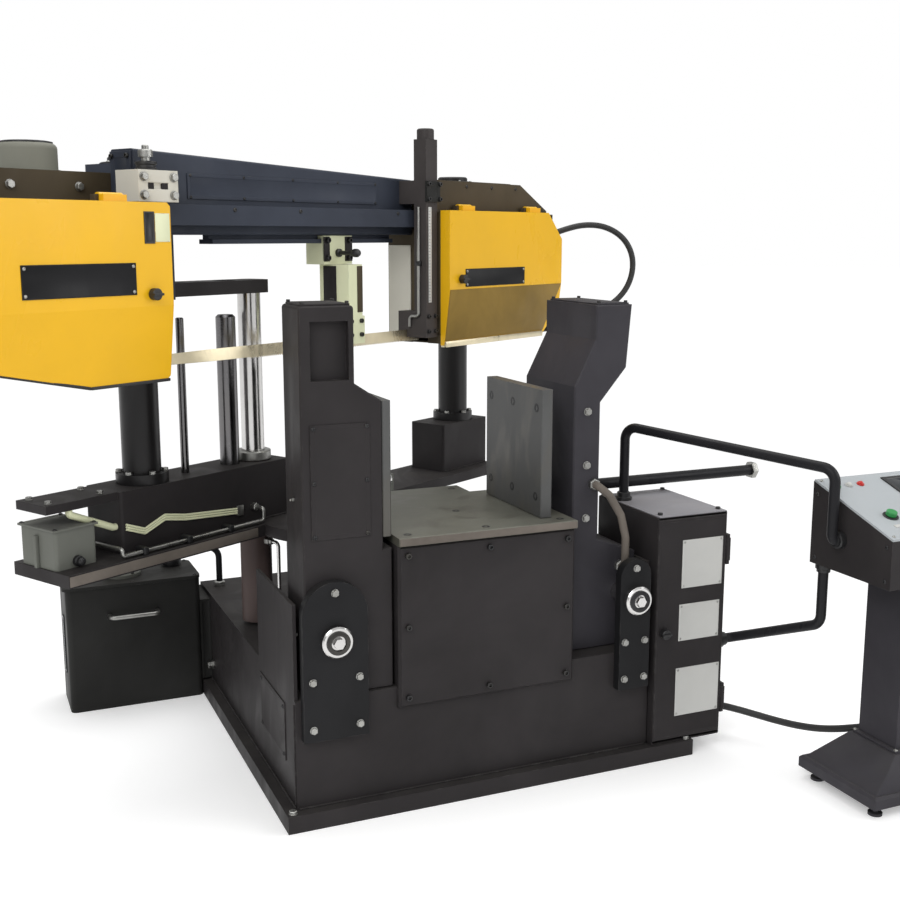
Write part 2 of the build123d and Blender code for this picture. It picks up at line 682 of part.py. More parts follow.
def door(ends, slope_u, corner, latch_u, name):
    """Make one wheel door: a folded sheet pan with a creased skirt, hinge tubes and a latch hole."""
    left, right = ends[0] - DOOR_LAP, ends[1] + DOOR_LAP
    low, high = HOUSING_BOTTOM - DOOR_LAP, HOUSING_TOP + DOOR_LAP

    def pan(inset, depth):
        """Make the closed form of the pan, drawn in by the inset."""
        with BuildPart() as form:
            with BuildSketch(Plane.XZ.offset(-DOOR_BACK)):
                with BuildLine():
                    Polyline(*cover_outline(ends, slope_u, DOOR_LAP - inset, corner), close=True)
                make_face()
            extrude(amount=depth)
            with BuildSketch(Plane.YZ.offset(left - DOOR_DEPTH)):
                with BuildLine():
                    front = DOOR_BACK - depth
                    Polyline((front, CREASE_Z), (front + CREASE_TAPER, low + inset),
                             (front + CREASE_TAPER, low - DOOR_DEPTH),
                             (front - DOOR_DEPTH, low - DOOR_DEPTH),
                             (front - DOOR_DEPTH, CREASE_Z), close=True)
                make_face()
            extrude(amount=right - left + 2 * DOOR_DEPTH, mode=Mode.SUBTRACT)
        return form.part

    core = pan(DOOR_SHEET, DOOR_DEPTH - DOOR_SHEET)
    outer = pan(0, DOOR_DEPTH)
    with BuildPart(BOW) as leaf:
        add(outer)
        add(core, mode=Mode.SUBTRACT)
        for hinge_u in hinge_places(ends):
            half = HINGE_LENGTH / 2
            block((hinge_u - half, DOOR_BACK - HINGE_TUBE, high - DOOR_SHEET),
                  (hinge_u + half, HINGE_V, HINGE_Z + HINGE_PIN))
            bar((hinge_u - half, HINGE_V, HINGE_Z), (hinge_u + half, HINGE_V, HINGE_Z), HINGE_TUBE, "X")
            bar((hinge_u - half, HINGE_V, HINGE_Z),
                (hinge_u + half, HINGE_V, HINGE_Z), HINGE_PIN + RUNNING, "X",
                Mode.SUBTRACT)
        bar((latch_u, DOOR_FRONT, LATCH_Z),
            (latch_u, DOOR_BACK, LATCH_Z), LATCH_STEM + RUNNING, "Y", Mode.SUBTRACT)
    save(leaf, name)


def latch(frame, place, front, back, name):
    """Make one quarter-turn latch: a grooved knob on a stem through a door, facing forward in its frame."""
    across, up = place
    head_back = front - SLIDING
    head_front = head_back - LATCH_HEAD
    with BuildPart(frame) as knob:
        bar((across, head_front, up), (across, head_back, up), LATCH_RADIUS, "Y")
        chamfer(knob.edges().filter_by(GeomType.CIRCLE), LATCH_RADIUS / 8)
        block((across - LATCH_RADIUS, head_front - SHEET, up - LATCH_STEM / 2),
              (across + LATCH_RADIUS, head_front + SHEET, up + LATCH_STEM / 2))
        bar((across, head_front + SHEET, up), (across, back, up), LATCH_STEM, "Y")
    save(knob, name)


# Wheel housings, doors and latches
slope_rise = COVER_SLOPE * (COVER_SLOPE_U - LEFT_HOUSING[0])
left_back = ((COVER_SLOPE_U, HOUSING_BOTTOM), (LEFT_HOUSING[1], HOUSING_BOTTOM),
             (LEFT_HOUSING[1], BEAM_BOTTOM),
             (LEFT_PILLAR + SLEEVE_SIZE / 2, BEAM_BOTTOM), (LEFT_PILLAR + SLEEVE_SIZE / 2, LEFT_BACK_TOP),
             (LEFT_HOUSING[0], LEFT_BACK_TOP), (LEFT_HOUSING[0], HOUSING_BOTTOM + slope_rise))
right_back = ((RIGHT_HOUSING[0], HOUSING_BOTTOM), (RIGHT_HOUSING[1], HOUSING_BOTTOM),
              (RIGHT_HOUSING[1], HOOD_END_Z), (HOOD_SLOPE_U, HOOD_TOP),
              (BEAM_RIGHT - 2 * BACK, HOOD_TOP), (BEAM_RIGHT - 2 * BACK, BEAM_BOTTOM),
              (RIGHT_HOUSING[0], BEAM_BOTTOM))
housing(LEFT_HOUSING, COVER_SLOPE_U, LEFT_WHEEL, LEFT_HOUSING[1], left_back, False, (), "left_housing")
hose_stubs = ((HOSE_ROUTE[0], HOSE_ROUTE[1]), (HOSE_ROUTE[-1], HOSE_ROUTE[-2]))
housing(RIGHT_HOUSING, COVER_SLOPE_U, RIGHT_WHEEL, RIGHT_HOUSING[0], right_back, True, hose_stubs,
        "right_housing")
door(LEFT_HOUSING, COVER_SLOPE_U, 2 * DOOR_LAP, LEFT_LATCH_U, "left_door")
door(RIGHT_HOUSING, COVER_SLOPE_U, RIGHT_DOOR_CORNER, RIGHT_LATCH_U, "right_door")
latch(BOW, (LEFT_LATCH_U, LATCH_Z), DOOR_FRONT, DOOR_FRONT + 2 * DOOR_SHEET, "left_latch")
latch(BOW, (RIGHT_LATCH_U, LATCH_Z), DOOR_FRONT, DOOR_FRONT + 2 * DOOR_SHEET, "right_latch")

# Wheels on their shafts
for wheel_u, shaft_end, wheel_name in (
    (LEFT_WHEEL, SLEEVE_FRONT + DRIVE_REACH, "drive_wheel"), (RIGHT_WHEEL, SLEEVE_FRONT, "idler_wheel"),
):
    with BuildPart(BOW) as wheel:
        half = WHEEL_WIDTH / 2
        bar((wheel_u, -half, WHEEL_Z), (wheel_u, half, WHEEL_Z), WHEEL_RADIUS, "Y")
        for near, far in ((-half, -WHEEL_WEB / 2), (WHEEL_WEB / 2, half)):
            bar((wheel_u, near, WHEEL_Z), (wheel_u, far, WHEEL_Z), WHEEL_RADIUS - WHEEL_RIM, "Y",
                Mode.SUBTRACT)
        bar((wheel_u, -half - WHEEL_WEB, WHEEL_Z),
            (wheel_u, HUB_LENGTH - SLIDING, WHEEL_Z), HUB_RADIUS, "Y")
        hole_circle = (WHEEL_RADIUS - WHEEL_RIM + HUB_RADIUS) / 2
        for hole in range(WHEEL_HOLES):
            turn = 2 * math.pi * hole / WHEEL_HOLES
            hole_u = wheel_u + hole_circle * math.sin(turn)
            hole_z = WHEEL_Z + hole_circle * math.cos(turn)
            bar((hole_u, -WHEEL_WIDTH, hole_z),
                (hole_u, WHEEL_WIDTH, hole_z), WHEEL_HOLE, "Y", Mode.SUBTRACT)
        bar((wheel_u, HUB_LENGTH - SLIDING, WHEEL_Z), (wheel_u, shaft_end, WHEEL_Z), SHAFT_RADIUS, "Y")
    save(wheel, wheel_name)

with BuildPart(BOW) as brush:
    bar((BRUSH_U, -BLADE_WIDTH / 2, BRUSH_Z), (BRUSH_U, BLADE_WIDTH / 2, BRUSH_Z), BRUSH_RADIUS, "Y")
    bar((BRUSH_U, -BLADE_WIDTH, BRUSH_Z), (BRUSH_U, SLEEVE_FRONT, BRUSH_Z), BRUSH_SHAFT, "Y")
save(brush, "chip_brush")

# Blade: flat round the wheels, turned on edge between the guides
wraps = []
for wheel_u, outward in ((LEFT_WHEEL, -1), (RIGHT_WHEEL, 1)):
    with BuildPart(BOW) as wrap:
        bar((wheel_u, -BLADE_WIDTH / 2, WHEEL_Z),
            (wheel_u, BLADE_WIDTH / 2, WHEEL_Z), RUN_RADIUS + BLADE, "Y")
        bar((wheel_u, -BLADE_WIDTH / 2, WHEEL_Z),
            (wheel_u, BLADE_WIDTH / 2, WHEEL_Z), RUN_RADIUS, "Y", Mode.SUBTRACT)
        inner = sorted((wheel_u, wheel_u - outward * 2 * RUN_RADIUS))
        block((inner[0], -BLADE_WIDTH, WHEEL_Z - 2 * RUN_RADIUS),
              (inner[1], BLADE_WIDTH, WHEEL_Z + 2 * RUN_RADIUS),
              Mode.SUBTRACT)
    wraps.append(wrap)
save_group(wraps, "blade_wraps")

with BuildPart(BOW) as return_run:
    block((LEFT_WHEEL, -BLADE_WIDTH / 2, UPPER_RUN_Z - BLADE / 2),
          (RIGHT_WHEEL, BLADE_WIDTH / 2, UPPER_RUN_Z + BLADE / 2))
with BuildPart(BOW) as cutting_run:
    block((TWIST_LEFT, -BLADE / 2, LOWER_RUN_Z - BLADE_WIDTH / 2),
          (TWIST_RIGHT, BLADE / 2, LOWER_RUN_Z + BLADE_WIDTH / 2))
twists = []
for flat_u, edge_u, inward in ((LEFT_WHEEL, TWIST_LEFT, 1), (RIGHT_WHEEL, TWIST_RIGHT, -1)):
    twist_start = flat_u + inward * FLAT_LEAD
    lead_ends = sorted((flat_u, twist_start))
    with BuildPart(BOW) as lead:
        block((lead_ends[0], -BLADE_WIDTH / 2, LOWER_RUN_Z - BLADE / 2),
              (lead_ends[1], BLADE_WIDTH / 2, LOWER_RUN_Z + BLADE / 2))
    with BuildPart() as twist:
        for step in range(TWIST_STEPS + 1):
            share = step / TWIST_STEPS
            with BuildSketch(BOW_SECTION.offset(twist_start + (edge_u - twist_start) * share)):
                with Locations(Location((0, LOWER_RUN_Z), 90 * share)):
                    Rectangle(BLADE_WIDTH, BLADE)
        loft()
    twists += [lead, twist]
save_group([return_run, cutting_run, *twists], "blade_runs")

# Guard over the return run, drive, brackets and lift rod
with BuildPart(BOW) as upper_guard:
    guard_front = -BLADE_WIDTH / 2 - GUARD_ROOM
    block((LEFT_HOUSING[1] + SLIDING, guard_front, GUARD_BOTTOM),
          (RIGHT_HOUSING[0] - SLIDING, BEAM_FRONT, GUARD_TOP))
    block((LEFT_HOUSING[1], guard_front + GUARD_SHEET, GUARD_BOTTOM),
          (RIGHT_HOUSING[0], BEAM_FRONT, GUARD_TOP - GUARD_SHEET), Mode.SUBTRACT)
save(upper_guard, "upper_guard")

with BuildPart(BOW) as gearbox:
    block((GEARBOX[0], SLEEVE_FRONT, GEARBOX_BOTTOM), (GEARBOX[1], GEARBOX_REAR, GEARBOX_TOP))
    fillet(gearbox.edges(), WALL)
    bar((LEFT_WHEEL, SLEEVE_FRONT, WHEEL_Z), (LEFT_WHEEL, SLEEVE_FRONT + DRIVE_REACH + WALL, WHEEL_Z),
        SHAFT_RADIUS + RUNNING, "Y", Mode.SUBTRACT)
with BuildPart(BOW) as drive_motor:
    motor_place = ((GEARBOX[0] + GEARBOX[1]) / 2 + MOTOR_SHIFT, (SLEEVE_FRONT + GEARBOX_REAR) / 2)
    bar((*motor_place, GEARBOX_TOP), (*motor_place, MOTOR_TOP), MOTOR_RADIUS, "Z")
    fillet(drive_motor.edges().sort_by(Axis.Z)[-1], MOTOR_RADIUS / 5)
    for fin in range(MOTOR_FINS):
        fin_z = GEARBOX_TOP + MOTOR_RADIUS / 2 + fin * MOTOR_FIN_PITCH
        bar((*motor_place, fin_z), (*motor_place, fin_z + MOTOR_FIN_PITCH / 2),
            MOTOR_RADIUS + MOTOR_FIN, "Z")
save_group([gearbox, drive_motor], "drive_unit")

with BuildPart(BOW) as tension_bracket:
    block((TENSION[0], TENSION_FRONT, TENSION_BOTTOM), (TENSION[1], BEAM_FRONT, TENSION_TOP))
    fillet(tension_bracket.edges().filter_by(Axis.Z), WALL)
    slot_u = (TENSION[0] + TENSION[1]) / 2
    block((slot_u - TENSION_SLOT / 2, TENSION_FRONT, TENSION_BOTTOM),
          (slot_u + TENSION_SLOT / 2, TENSION_FRONT + 2 * WALL, TENSION_TOP - 2 * WALL), Mode.SUBTRACT)
with BuildPart(BOW) as lift_bracket:
    block((LEFT_PILLAR + SLEEVE_SIZE / 2, PILLAR_V - LIFT_BRACKET_HALF, LIFT_BRACKET_BOTTOM),
          (LIFT_U + LIFT_BRACKET_HALF, PILLAR_V + LIFT_BRACKET_HALF, LIFT_BRACKET_TOP))
    fillet(lift_bracket.edges().filter_by(Axis.Z).group_by(Axis((0, 0, 0), ALONG))[-1],
           LIFT_BRACKET_HALF / 2)
    for rod_u, rod_radius in SIDE_RODS:
        bar((rod_u, PILLAR_V, LIFT_BRACKET_BOTTOM),
            (rod_u, PILLAR_V, LIFT_BRACKET_TOP), rod_radius + ROD_CLEARANCE,
            "Z", Mode.SUBTRACT)
save_group([tension_bracket, lift_bracket], "bow_brackets")

with BuildPart(BOW) as lift_rod:
    bar((LIFT_U, PILLAR_V, LIFT_ROD_BOTTOM), (LIFT_U, PILLAR_V, LIFT_BRACKET_BOTTOM), LIFT_ROD, "Z")
save(lift_rod, "lift_rod")


def blade_slot(middle_u):
    """Cut the slot that the blade runs in through a guide head, open at the bottom."""
    half = BLADE / 2 + GUIDE_ROOM
    block((middle_u - CARRIAGE_LENGTH, -half, GUIDE_HEAD_BOTTOM),
          (middle_u + CARRIAGE_LENGTH, half, GUIDE_SLOT_TOP),
          Mode.SUBTRACT)


# Blade guides: the left one rides on the rail, the right one hangs on a fixed post
with BuildPart(BOW) as left_guide:
    carriage_top = BEAM_BOTTOM - GUIDE_AIR
    block((LEFT_GUIDE - CARRIAGE_LENGTH / 2, RAIL_FRONT - WALL, carriage_top - CARRIAGE_HEIGHT),
          (LEFT_GUIDE + CARRIAGE_LENGTH / 2, RAIL_REAR + WALL, carriage_top))
    rail_bottom = BEAM_BOTTOM - RAIL_HEIGHT - RUNNING
    block((LEFT_GUIDE - CARRIAGE_LENGTH, RAIL_FRONT - RUNNING, rail_bottom),
          (LEFT_GUIDE + CARRIAGE_LENGTH, RAIL_REAR + RUNNING, BEAM_BOTTOM - RAIL_NECK + RUNNING),
          Mode.SUBTRACT)
    block((LEFT_GUIDE - CARRIAGE_LENGTH, RAIL_FRONT + RAIL_LIP - RUNNING, rail_bottom),
          (LEFT_GUIDE + CARRIAGE_LENGTH, RAIL_REAR - RAIL_LIP + RUNNING, BEAM_BOTTOM), Mode.SUBTRACT)
    block((LEFT_GUIDE - GUIDE_HALF, -GUIDE_HEAD_DEPTH / 2, GUIDE_HEAD_TOP - WALL),
          (LEFT_GUIDE + GUIDE_HALF, RAIL_REAR - RAIL_LIP, carriage_top - CARRIAGE_HEIGHT))
    block((LEFT_GUIDE - GUIDE_HALF - WALL, -GUIDE_HEAD_DEPTH / 2, GUIDE_HEAD_BOTTOM),
          (LEFT_GUIDE + GUIDE_HALF + WALL, GUIDE_HEAD_DEPTH / 2, GUIDE_HEAD_TOP))
    blade_slot(LEFT_GUIDE)
save(left_guide, "left_guide_arm")

with BuildPart(BOW) as right_guide:
    block((RIGHT_GUIDE - POST_HALF, POST_FRONT, GUIDE_HEAD_BOTTOM),
          (RIGHT_GUIDE + POST_HALF, POST_REAR, POST_TOP))
    block((RIGHT_GUIDE - POST_HALF, POST_REAR, POST_BRACKET_BOTTOM),
          (RIGHT_GUIDE + POST_HALF, BEAM_FRONT, POST_BRACKET_TOP))
    block((RIGHT_GUIDE - POST_HALF, POST_REAR, GUIDE_HEAD_BOTTOM),
          (RIGHT_GUIDE + POST_HALF, GUIDE_HEAD_DEPTH / 2, GUIDE_HEAD_TOP))
    blade_slot(RIGHT_GUIDE)
    knob_place = (RIGHT_GUIDE, (POST_FRONT + POST_REAR) / 2)
    bar((*knob_place, POST_TOP), (*knob_place, POST_TOP + KNOB_HEIGHT), KNOB_RADIUS, "Z")
    fillet(right_guide.edges().sort_by(Axis.Z)[-1], KNOB_HEIGHT / 5)
save(right_guide, "right_guide_arm")

# Hose loop at the right end of the bow
hose_points = [(BOW * Location(point)).position for point in HOSE_ROUTE]
hose = tube(hose_points, bend_radii(hose_points), HOSE_RADIUS, "tension_hose")
save(hose, "tension_hose")


def bearing_plate(hub_x, half):
    """Make one arched plate on the front wall that an adjusting screw turns in."""
    with BuildPart() as plate:
        with BuildSketch(Plane.XZ.offset(WALL_Y)):
            with BuildLine():
                arch_z = HUB_Z + ARCH_RISE
                Polyline((hub_x + half, arch_z), (hub_x + half, BEARING_BOTTOM),
                         (hub_x - half, BEARING_BOTTOM),
                         (hub_x - half, arch_z))
                ThreePointArc((hub_x - half, arch_z), (hub_x, arch_z + half), (hub_x + half, arch_z))
            make_face()
        extrude(amount=BEARING_PLATE)
        bar((hub_x, -WALL_Y - BEARING_PLATE, HUB_Z),
            (hub_x, -WALL_Y, HUB_Z), SCREW_RADIUS + RUNNING, "Y", Mode.SUBTRACT)
    return plate


def adjusting_screw(hub_x, end_y, name):
    """Make one adjusting screw: a hexagon in a round nose in front of its bearing plate, and the shank."""
    with BuildPart() as screw:
        nose_back = -WALL_Y - BEARING_PLATE - SLIDING
        bar((hub_x, nose_back - SCREW_NOSE, HUB_Z), (hub_x, nose_back, HUB_Z), SCREW_FLANGE, "Y")
        chamfer(screw.edges().filter_by(GeomType.CIRCLE).group_by(Axis.Y)[0], SCREW_NOSE / 6)
        with BuildSketch(Plane.XZ.offset(-nose_back + SCREW_NOSE)):
            with Locations((hub_x, HUB_Z)):
                RegularPolygon(SCREW_RADIUS / 2, 6)
        extrude(amount=SCREW_NOSE / 2)
        bar((hub_x, nose_back, HUB_Z), (hub_x, end_y, HUB_Z), SCREW_RADIUS, "Y")
    save(screw, name)


# Vise: bearing plates, screws, jaw towers, jaw plates, clamping rod
save_group([bearing_plate(LEFT_HUB_X, FOOT_HALF_LEFT), bearing_plate(RIGHT_HUB_X, FOOT_HALF_RIGHT)],
           "screw_bearings")
adjusting_screw(LEFT_HUB_X, LEFT_TOWER_REAR + SCREW_SPARE, "left_screw")
adjusting_screw(RIGHT_HUB_X, RIGHT_TOWER_REAR + SCREW_SPARE, "right_screw")

with BuildPart() as left_tower:
    tower_right = LEFT_TOWER[1] - JAW_PLATE
    with BuildSketch(Plane.XZ.offset(-LEFT_TOWER_REAR)):
        with BuildLine():
            Polyline(
                (LEFT_TOWER[0], DECK_TOP + SLIDING), (BED_LEFT - TOWER_AIR, DECK_TOP + SLIDING),
                (BED_LEFT - TOWER_AIR, BED_UNDER - TOWER_AIR), (tower_right, BED_UNDER - TOWER_AIR),
                (tower_right, JAW_TOP), (LEFT_HORN_RIGHT, JAW_TOP + HORN_RAMP),
                (LEFT_HORN_RIGHT, TOWER_TOP),
                (LEFT_TOWER[0], TOWER_TOP), close=True,
            )
        make_face()
    extrude(amount=LEFT_TOWER_REAR - LEFT_TOWER_FRONT)
    fillet(left_tower.edges().filter_by(Axis.Y).sort_by(Axis.Z)[-2:], WALL)
    chamfer(left_tower.faces().sort_by(Axis.Y)[0].edges(), TOWER_EDGE)
    block((LEFT_TOWER[0] + POCKET_MARGIN, LEFT_TOWER_FRONT, POCKET_BOTTOM),
          (LEFT_HORN_RIGHT - POCKET_MARGIN / 2, LEFT_TOWER_FRONT + POCKET_DEPTH, POCKET_TOP), Mode.SUBTRACT)
    bar((LEFT_HUB_X, LEFT_TOWER_FRONT, HUB_Z),
        (LEFT_HUB_X, LEFT_TOWER_REAR, HUB_Z), SCREW_RADIUS + RUNNING, "Y",
        Mode.SUBTRACT)
save(left_tower, "left_jaw_tower")

with BuildPart() as left_jaw:
    block((LEFT_TOWER[1] - JAW_PLATE, LEFT_TOWER_FRONT, BED_TOP + JAW_AIR),
          (LEFT_TOWER[1], LEFT_JAW_REAR, JAW_TOP))
    chamfer(left_jaw.edges().filter_by(Axis.Z), JAW_PLATE / 8)
save(left_jaw, "left_jaw_plate")

with BuildPart() as right_tower:
    neck_right = RIGHT_HORN[1] - HORN_FLARE
    foot_right = RIGHT_HUB_X + FOOT_HALF_RIGHT
    foot_top = HUB_Z + ARCH_RISE + FOOT_HALF_RIGHT
    with BuildSketch(Plane.XZ.offset(-RIGHT_TOWER_REAR)):
        with BuildLine():
            Polyline(
                (RIGHT_TOWER[0], DECK_TOP + SLIDING), (foot_right, DECK_TOP + SLIDING),
                (foot_right, foot_top),
                (neck_right, foot_top + HORN_RAMP), (neck_right, JAW_TOP - HORN_RAMP),
                (RIGHT_HORN[1] - HORN_LEAN, JAW_TOP + HORN_RAMP), (RIGHT_HORN[1], RIGHT_TOWER_TOP),
                (RIGHT_HORN[0], RIGHT_TOWER_TOP), (RIGHT_HORN[0], RIGHT_TOWER_TOP - 2 * HORN_RAMP),
                (RIGHT_TOWER[0], JAW_TOP), close=True,
            )
        make_face()
    extrude(amount=RIGHT_TOWER_REAR - RIGHT_TOWER_FRONT)
    chamfer(right_tower.faces().sort_by(Axis.Y)[0].edges(), TOWER_EDGE)
    bar((RIGHT_HUB_X, RIGHT_TOWER_FRONT, HUB_Z),
        (RIGHT_HUB_X, RIGHT_TOWER_REAR, HUB_Z), SCREW_RADIUS + RUNNING, "Y",
        Mode.SUBTRACT)
    bar((RIGHT_TOWER[0], VISE_ROD_Y, VISE_ROD_Z),
        (RIGHT_HORN[1], VISE_ROD_Y, VISE_ROD_Z), VISE_ROD_RADIUS + RUNNING,
        "X", Mode.SUBTRACT)
save(right_tower, "right_jaw_tower")

with BuildPart() as right_jaw:
    block((RIGHT_JAW[0], RIGHT_JAW_FRONT, BED_TOP + JAW_AIR), (RIGHT_JAW[1], RIGHT_JAW_REAR, JAW_TOP))
    chamfer(right_jaw.edges().filter_by(Axis.Z), JAW_PLATE / 8)
save(right_jaw, "right_jaw_plate")

with BuildPart() as vise_rod:
    bar((RIGHT_JAW[1], VISE_ROD_Y, VISE_ROD_Z),
        (VISE_ROD_END, VISE_ROD_Y, VISE_ROD_Z), VISE_ROD_RADIUS, "X")
    chamfer(vise_rod.edges().sort_by(Axis.X)[-1], VISE_ROD_RADIUS / 6)
save(vise_rod, "vise_rod")

# Switch cabinet beside the base
hinge_x = CABINET[1] + CABINET_HINGE
door_back = CABINET_FRONT - SLIDING
door_front = door_back - CABINET_DOOR
hinge_y = (door_back + door_front) / 2
cabinet_latch_place = (CABINET[0] + 2 * CABINET_MARGIN, (PLINTH_HEIGHT + CABINET_TOP) / 2)
cabinet_hinges = (PLINTH_HEIGHT + CABINET_HINGE_INSET, CABINET_TOP - CABINET_HINGE_INSET)

with BuildPart() as cabinet:
    block((CABINET[0], CABINET_FRONT, PLINTH_HEIGHT), (CABINET[1], CABINET_REAR, CABINET_TOP))
    fillet(cabinet.edges().filter_by(Axis.Y), CABINET_SHEET)
    block((CABINET[0] + CABINET_SHEET, CABINET_FRONT, PLINTH_HEIGHT + CABINET_SHEET),
          (CABINET[1] - CABINET_SHEET, CABINET_REAR - CABINET_SHEET, CABINET_TOP - CABINET_SHEET),
          Mode.SUBTRACT)
    for hinge_z in cabinet_hinges:
        reach = HINGE_LENGTH / 2 + SLIDING
        for lug_z in (hinge_z - reach - HINGE_LUG, hinge_z + reach):
            block((CABINET[1] - CABINET_SHEET / 2, hinge_y - HINGE_PIN / 2, lug_z),
                  (hinge_x + HINGE_PIN / 2, CABINET_FRONT + 2 * HINGE_LUG, lug_z + HINGE_LUG))
        bar((hinge_x, hinge_y, hinge_z - reach), (hinge_x, hinge_y, hinge_z + reach), CABINET_PIN, "Z")
    stub(FLOOR_ROUTE[0], FLOOR_ROUTE[1], FLOOR_STUB)
save(cabinet, "cabinet_shell")

with BuildPart() as cabinet_door:
    block((CABINET[0], door_front, PLINTH_HEIGHT + CABINET_MARGIN), (CABINET[1] - CABINET_SHEET, door_back,
          CABINET_TOP - CABINET_MARGIN / 2))
    chamfer(cabinet_door.faces().sort_by(Axis.Y)[0].edges(), CABINET_DOOR / 4)
    for hinge_z in cabinet_hinges:
        low_z, high_z = hinge_z - HINGE_LENGTH / 2, hinge_z + HINGE_LENGTH / 2
        block((CABINET[1] - 2 * CABINET_SHEET, door_front + CABINET_DOOR / 3, low_z),
              (hinge_x, door_back, high_z))
        bar((hinge_x, hinge_y, low_z), (hinge_x, hinge_y, high_z), CABINET_HINGE - SLIDING, "Z")
        bar((hinge_x, hinge_y, low_z), (hinge_x, hinge_y, high_z), CABINET_PIN + RUNNING, "Z",
            Mode.SUBTRACT)
    across, up = cabinet_latch_place
    bar((across, door_front, up), (across, door_back, up), LATCH_STEM + RUNNING, "Y", Mode.SUBTRACT)
save(cabinet_door, "cabinet_door")
latch(Plane.XY, cabinet_latch_place, door_front, door_back + CABINET_DOOR, "cabinet_latch")

# Hydraulic unit and coolant tank
with BuildPart() as unit_tank:
    block((UNIT[0], UNIT_Y[0], PLINTH_HEIGHT), (UNIT[1], UNIT_Y[1], UNIT_TOP - PUMP_RADIUS * 2))
    fillet(unit_tank.edges().filter_by(Axis.Z), WALL)
with BuildPart() as pump_motor:
    pump_x = (UNIT[0] + UNIT[1]) / 2
    pump_z = UNIT_TOP - PUMP_RADIUS
    bar((pump_x, UNIT_Y[0] + PUMP_INSET, pump_z),
        (pump_x, UNIT_Y[1] - PUMP_INSET, pump_z), PUMP_RADIUS, "Y")
    fillet(pump_motor.edges().filter_by(GeomType.CIRCLE), WALL)
    block((pump_x - PUMP_RADIUS, UNIT_Y[0] + 2 * PUMP_INSET, UNIT_TOP - 2 * PUMP_RADIUS),
          (pump_x + PUMP_RADIUS, UNIT_Y[1] - 2 * PUMP_INSET, pump_z - PUMP_RADIUS / 2))
save_group([unit_tank, pump_motor], "hydraulic_unit")

with BuildPart() as coolant_tank:
    block((-HALF_X - TANK_LENGTH, TANK_Y[0], 0), (-HALF_X, TANK_Y[1], TANK_TOP - WALL))
    fillet(coolant_tank.edges().filter_by(Axis.Z), 2 * WALL)
with BuildPart() as tank_lid:
    block((-HALF_X - TANK_LENGTH - WALL, TANK_Y[0] - WALL, TANK_TOP - WALL), (-HALF_X, TANK_Y[1], TANK_TOP))
    fillet(tank_lid.edges().filter_by(Axis.Z), 2 * WALL)
save_group([coolant_tank, tank_lid], "coolant_tank")

# Console: stand on levelling feet, sloping head, panel with its controls
console_x = (CONSOLE_X[0] + CONSOLE_X[1]) / 2
console_y = (CONSOLE_Y[0] + CONSOLE_Y[1]) / 2
foot_top = CONSOLE_FOOT_Z + CONSOLE_FOOT
with BuildPart() as stand:
    block((CONSOLE_X[0], CONSOLE_Y[0], CONSOLE_FOOT_Z), (CONSOLE_X[1], CONSOLE_Y[1], foot_top))
    chamfer(stand.faces().sort_by(Axis.Z)[-1].edges(), CONSOLE_FOOT / 5)
    block((console_x - COLUMN_SIZE / 2, console_y - COLUMN_SIZE / 2, foot_top),
          (console_x + COLUMN_SIZE / 2, console_y + COLUMN_SIZE / 2, HEAD_BOTTOM))
    for foot_x in (CONSOLE_X[0] + FEET_INSET, CONSOLE_X[1] - FEET_INSET):
        for foot_y in (CONSOLE_Y[0] + FEET_INSET, CONSOLE_Y[1] - FEET_INSET):
            bar((foot_x, foot_y, 0), (foot_x, foot_y, FEET_STEM), FEET_RADIUS, "Z")
            bar((foot_x, foot_y, FEET_STEM), (foot_x, foot_y, CONSOLE_FOOT_Z), FEET_STEM, "Z")
    stub(FLOOR_ROUTE[-1], FLOOR_ROUTE[-2], FLOOR_STUB)
save(stand, "console_stand")

with BuildPart() as head:
    with BuildSketch(Plane.YZ.offset(CONSOLE_X[0])):
        with BuildLine():
            Polyline((CONSOLE_Y[0], HEAD_BOTTOM), (CONSOLE_Y[1], HEAD_BOTTOM),
                     (CONSOLE_Y[1], HEAD_REAR_TOP),
                     (CONSOLE_Y[0], HEAD_FRONT_TOP), close=True)
        make_face()
    extrude(amount=CONSOLE_X[1] - CONSOLE_X[0])
    block((CONSOLE_X[0] + HEAD_SHEET, CONSOLE_Y[0] + HEAD_SHEET, HEAD_BOTTOM + HEAD_SHEET),
          (CONSOLE_X[1] - HEAD_SHEET, CONSOLE_Y[1] - HEAD_SHEET, HEAD_REAR_TOP + HEAD_SHEET), Mode.SUBTRACT)
save(head, "console_head")

slope = Vector(0, CONSOLE_Y[1] - CONSOLE_Y[0], HEAD_REAR_TOP - HEAD_FRONT_TOP)
PANEL_FACE = Plane(origin=(console_x, CONSOLE_Y[0], HEAD_FRONT_TOP), x_dir=(1, 0, 0),
                   z_dir=Vector(1, 0, 0).cross(slope).normalized())
half_width = (CONSOLE_X[1] - CONSOLE_X[0]) / 2
row = [(-1.5 * PANEL_PITCH + place * PANEL_PITCH, PANEL_ROW) for place in range(4)]
controls = {
    "start_button": row[0], "stop_button": row[1], "selector_knob": row[2], "feed_knob": row[3],
    "emergency_stop": (row[3][0], STOP_ROW),
}
with BuildPart(PANEL_FACE) as panel:
    block((-half_width, 0, 0), (half_width, slope.length, PANEL_SHEET))
    chamfer(panel.faces().sort_by(Axis.Z)[-1].edges(), PANEL_SHEET / 3)
    for across, up in controls.values():
        bar((across, up, 0), (across, up, PANEL_SHEET), BUTTON_STEM + RUNNING, "Z", Mode.SUBTRACT)
save(panel, "console_panel")


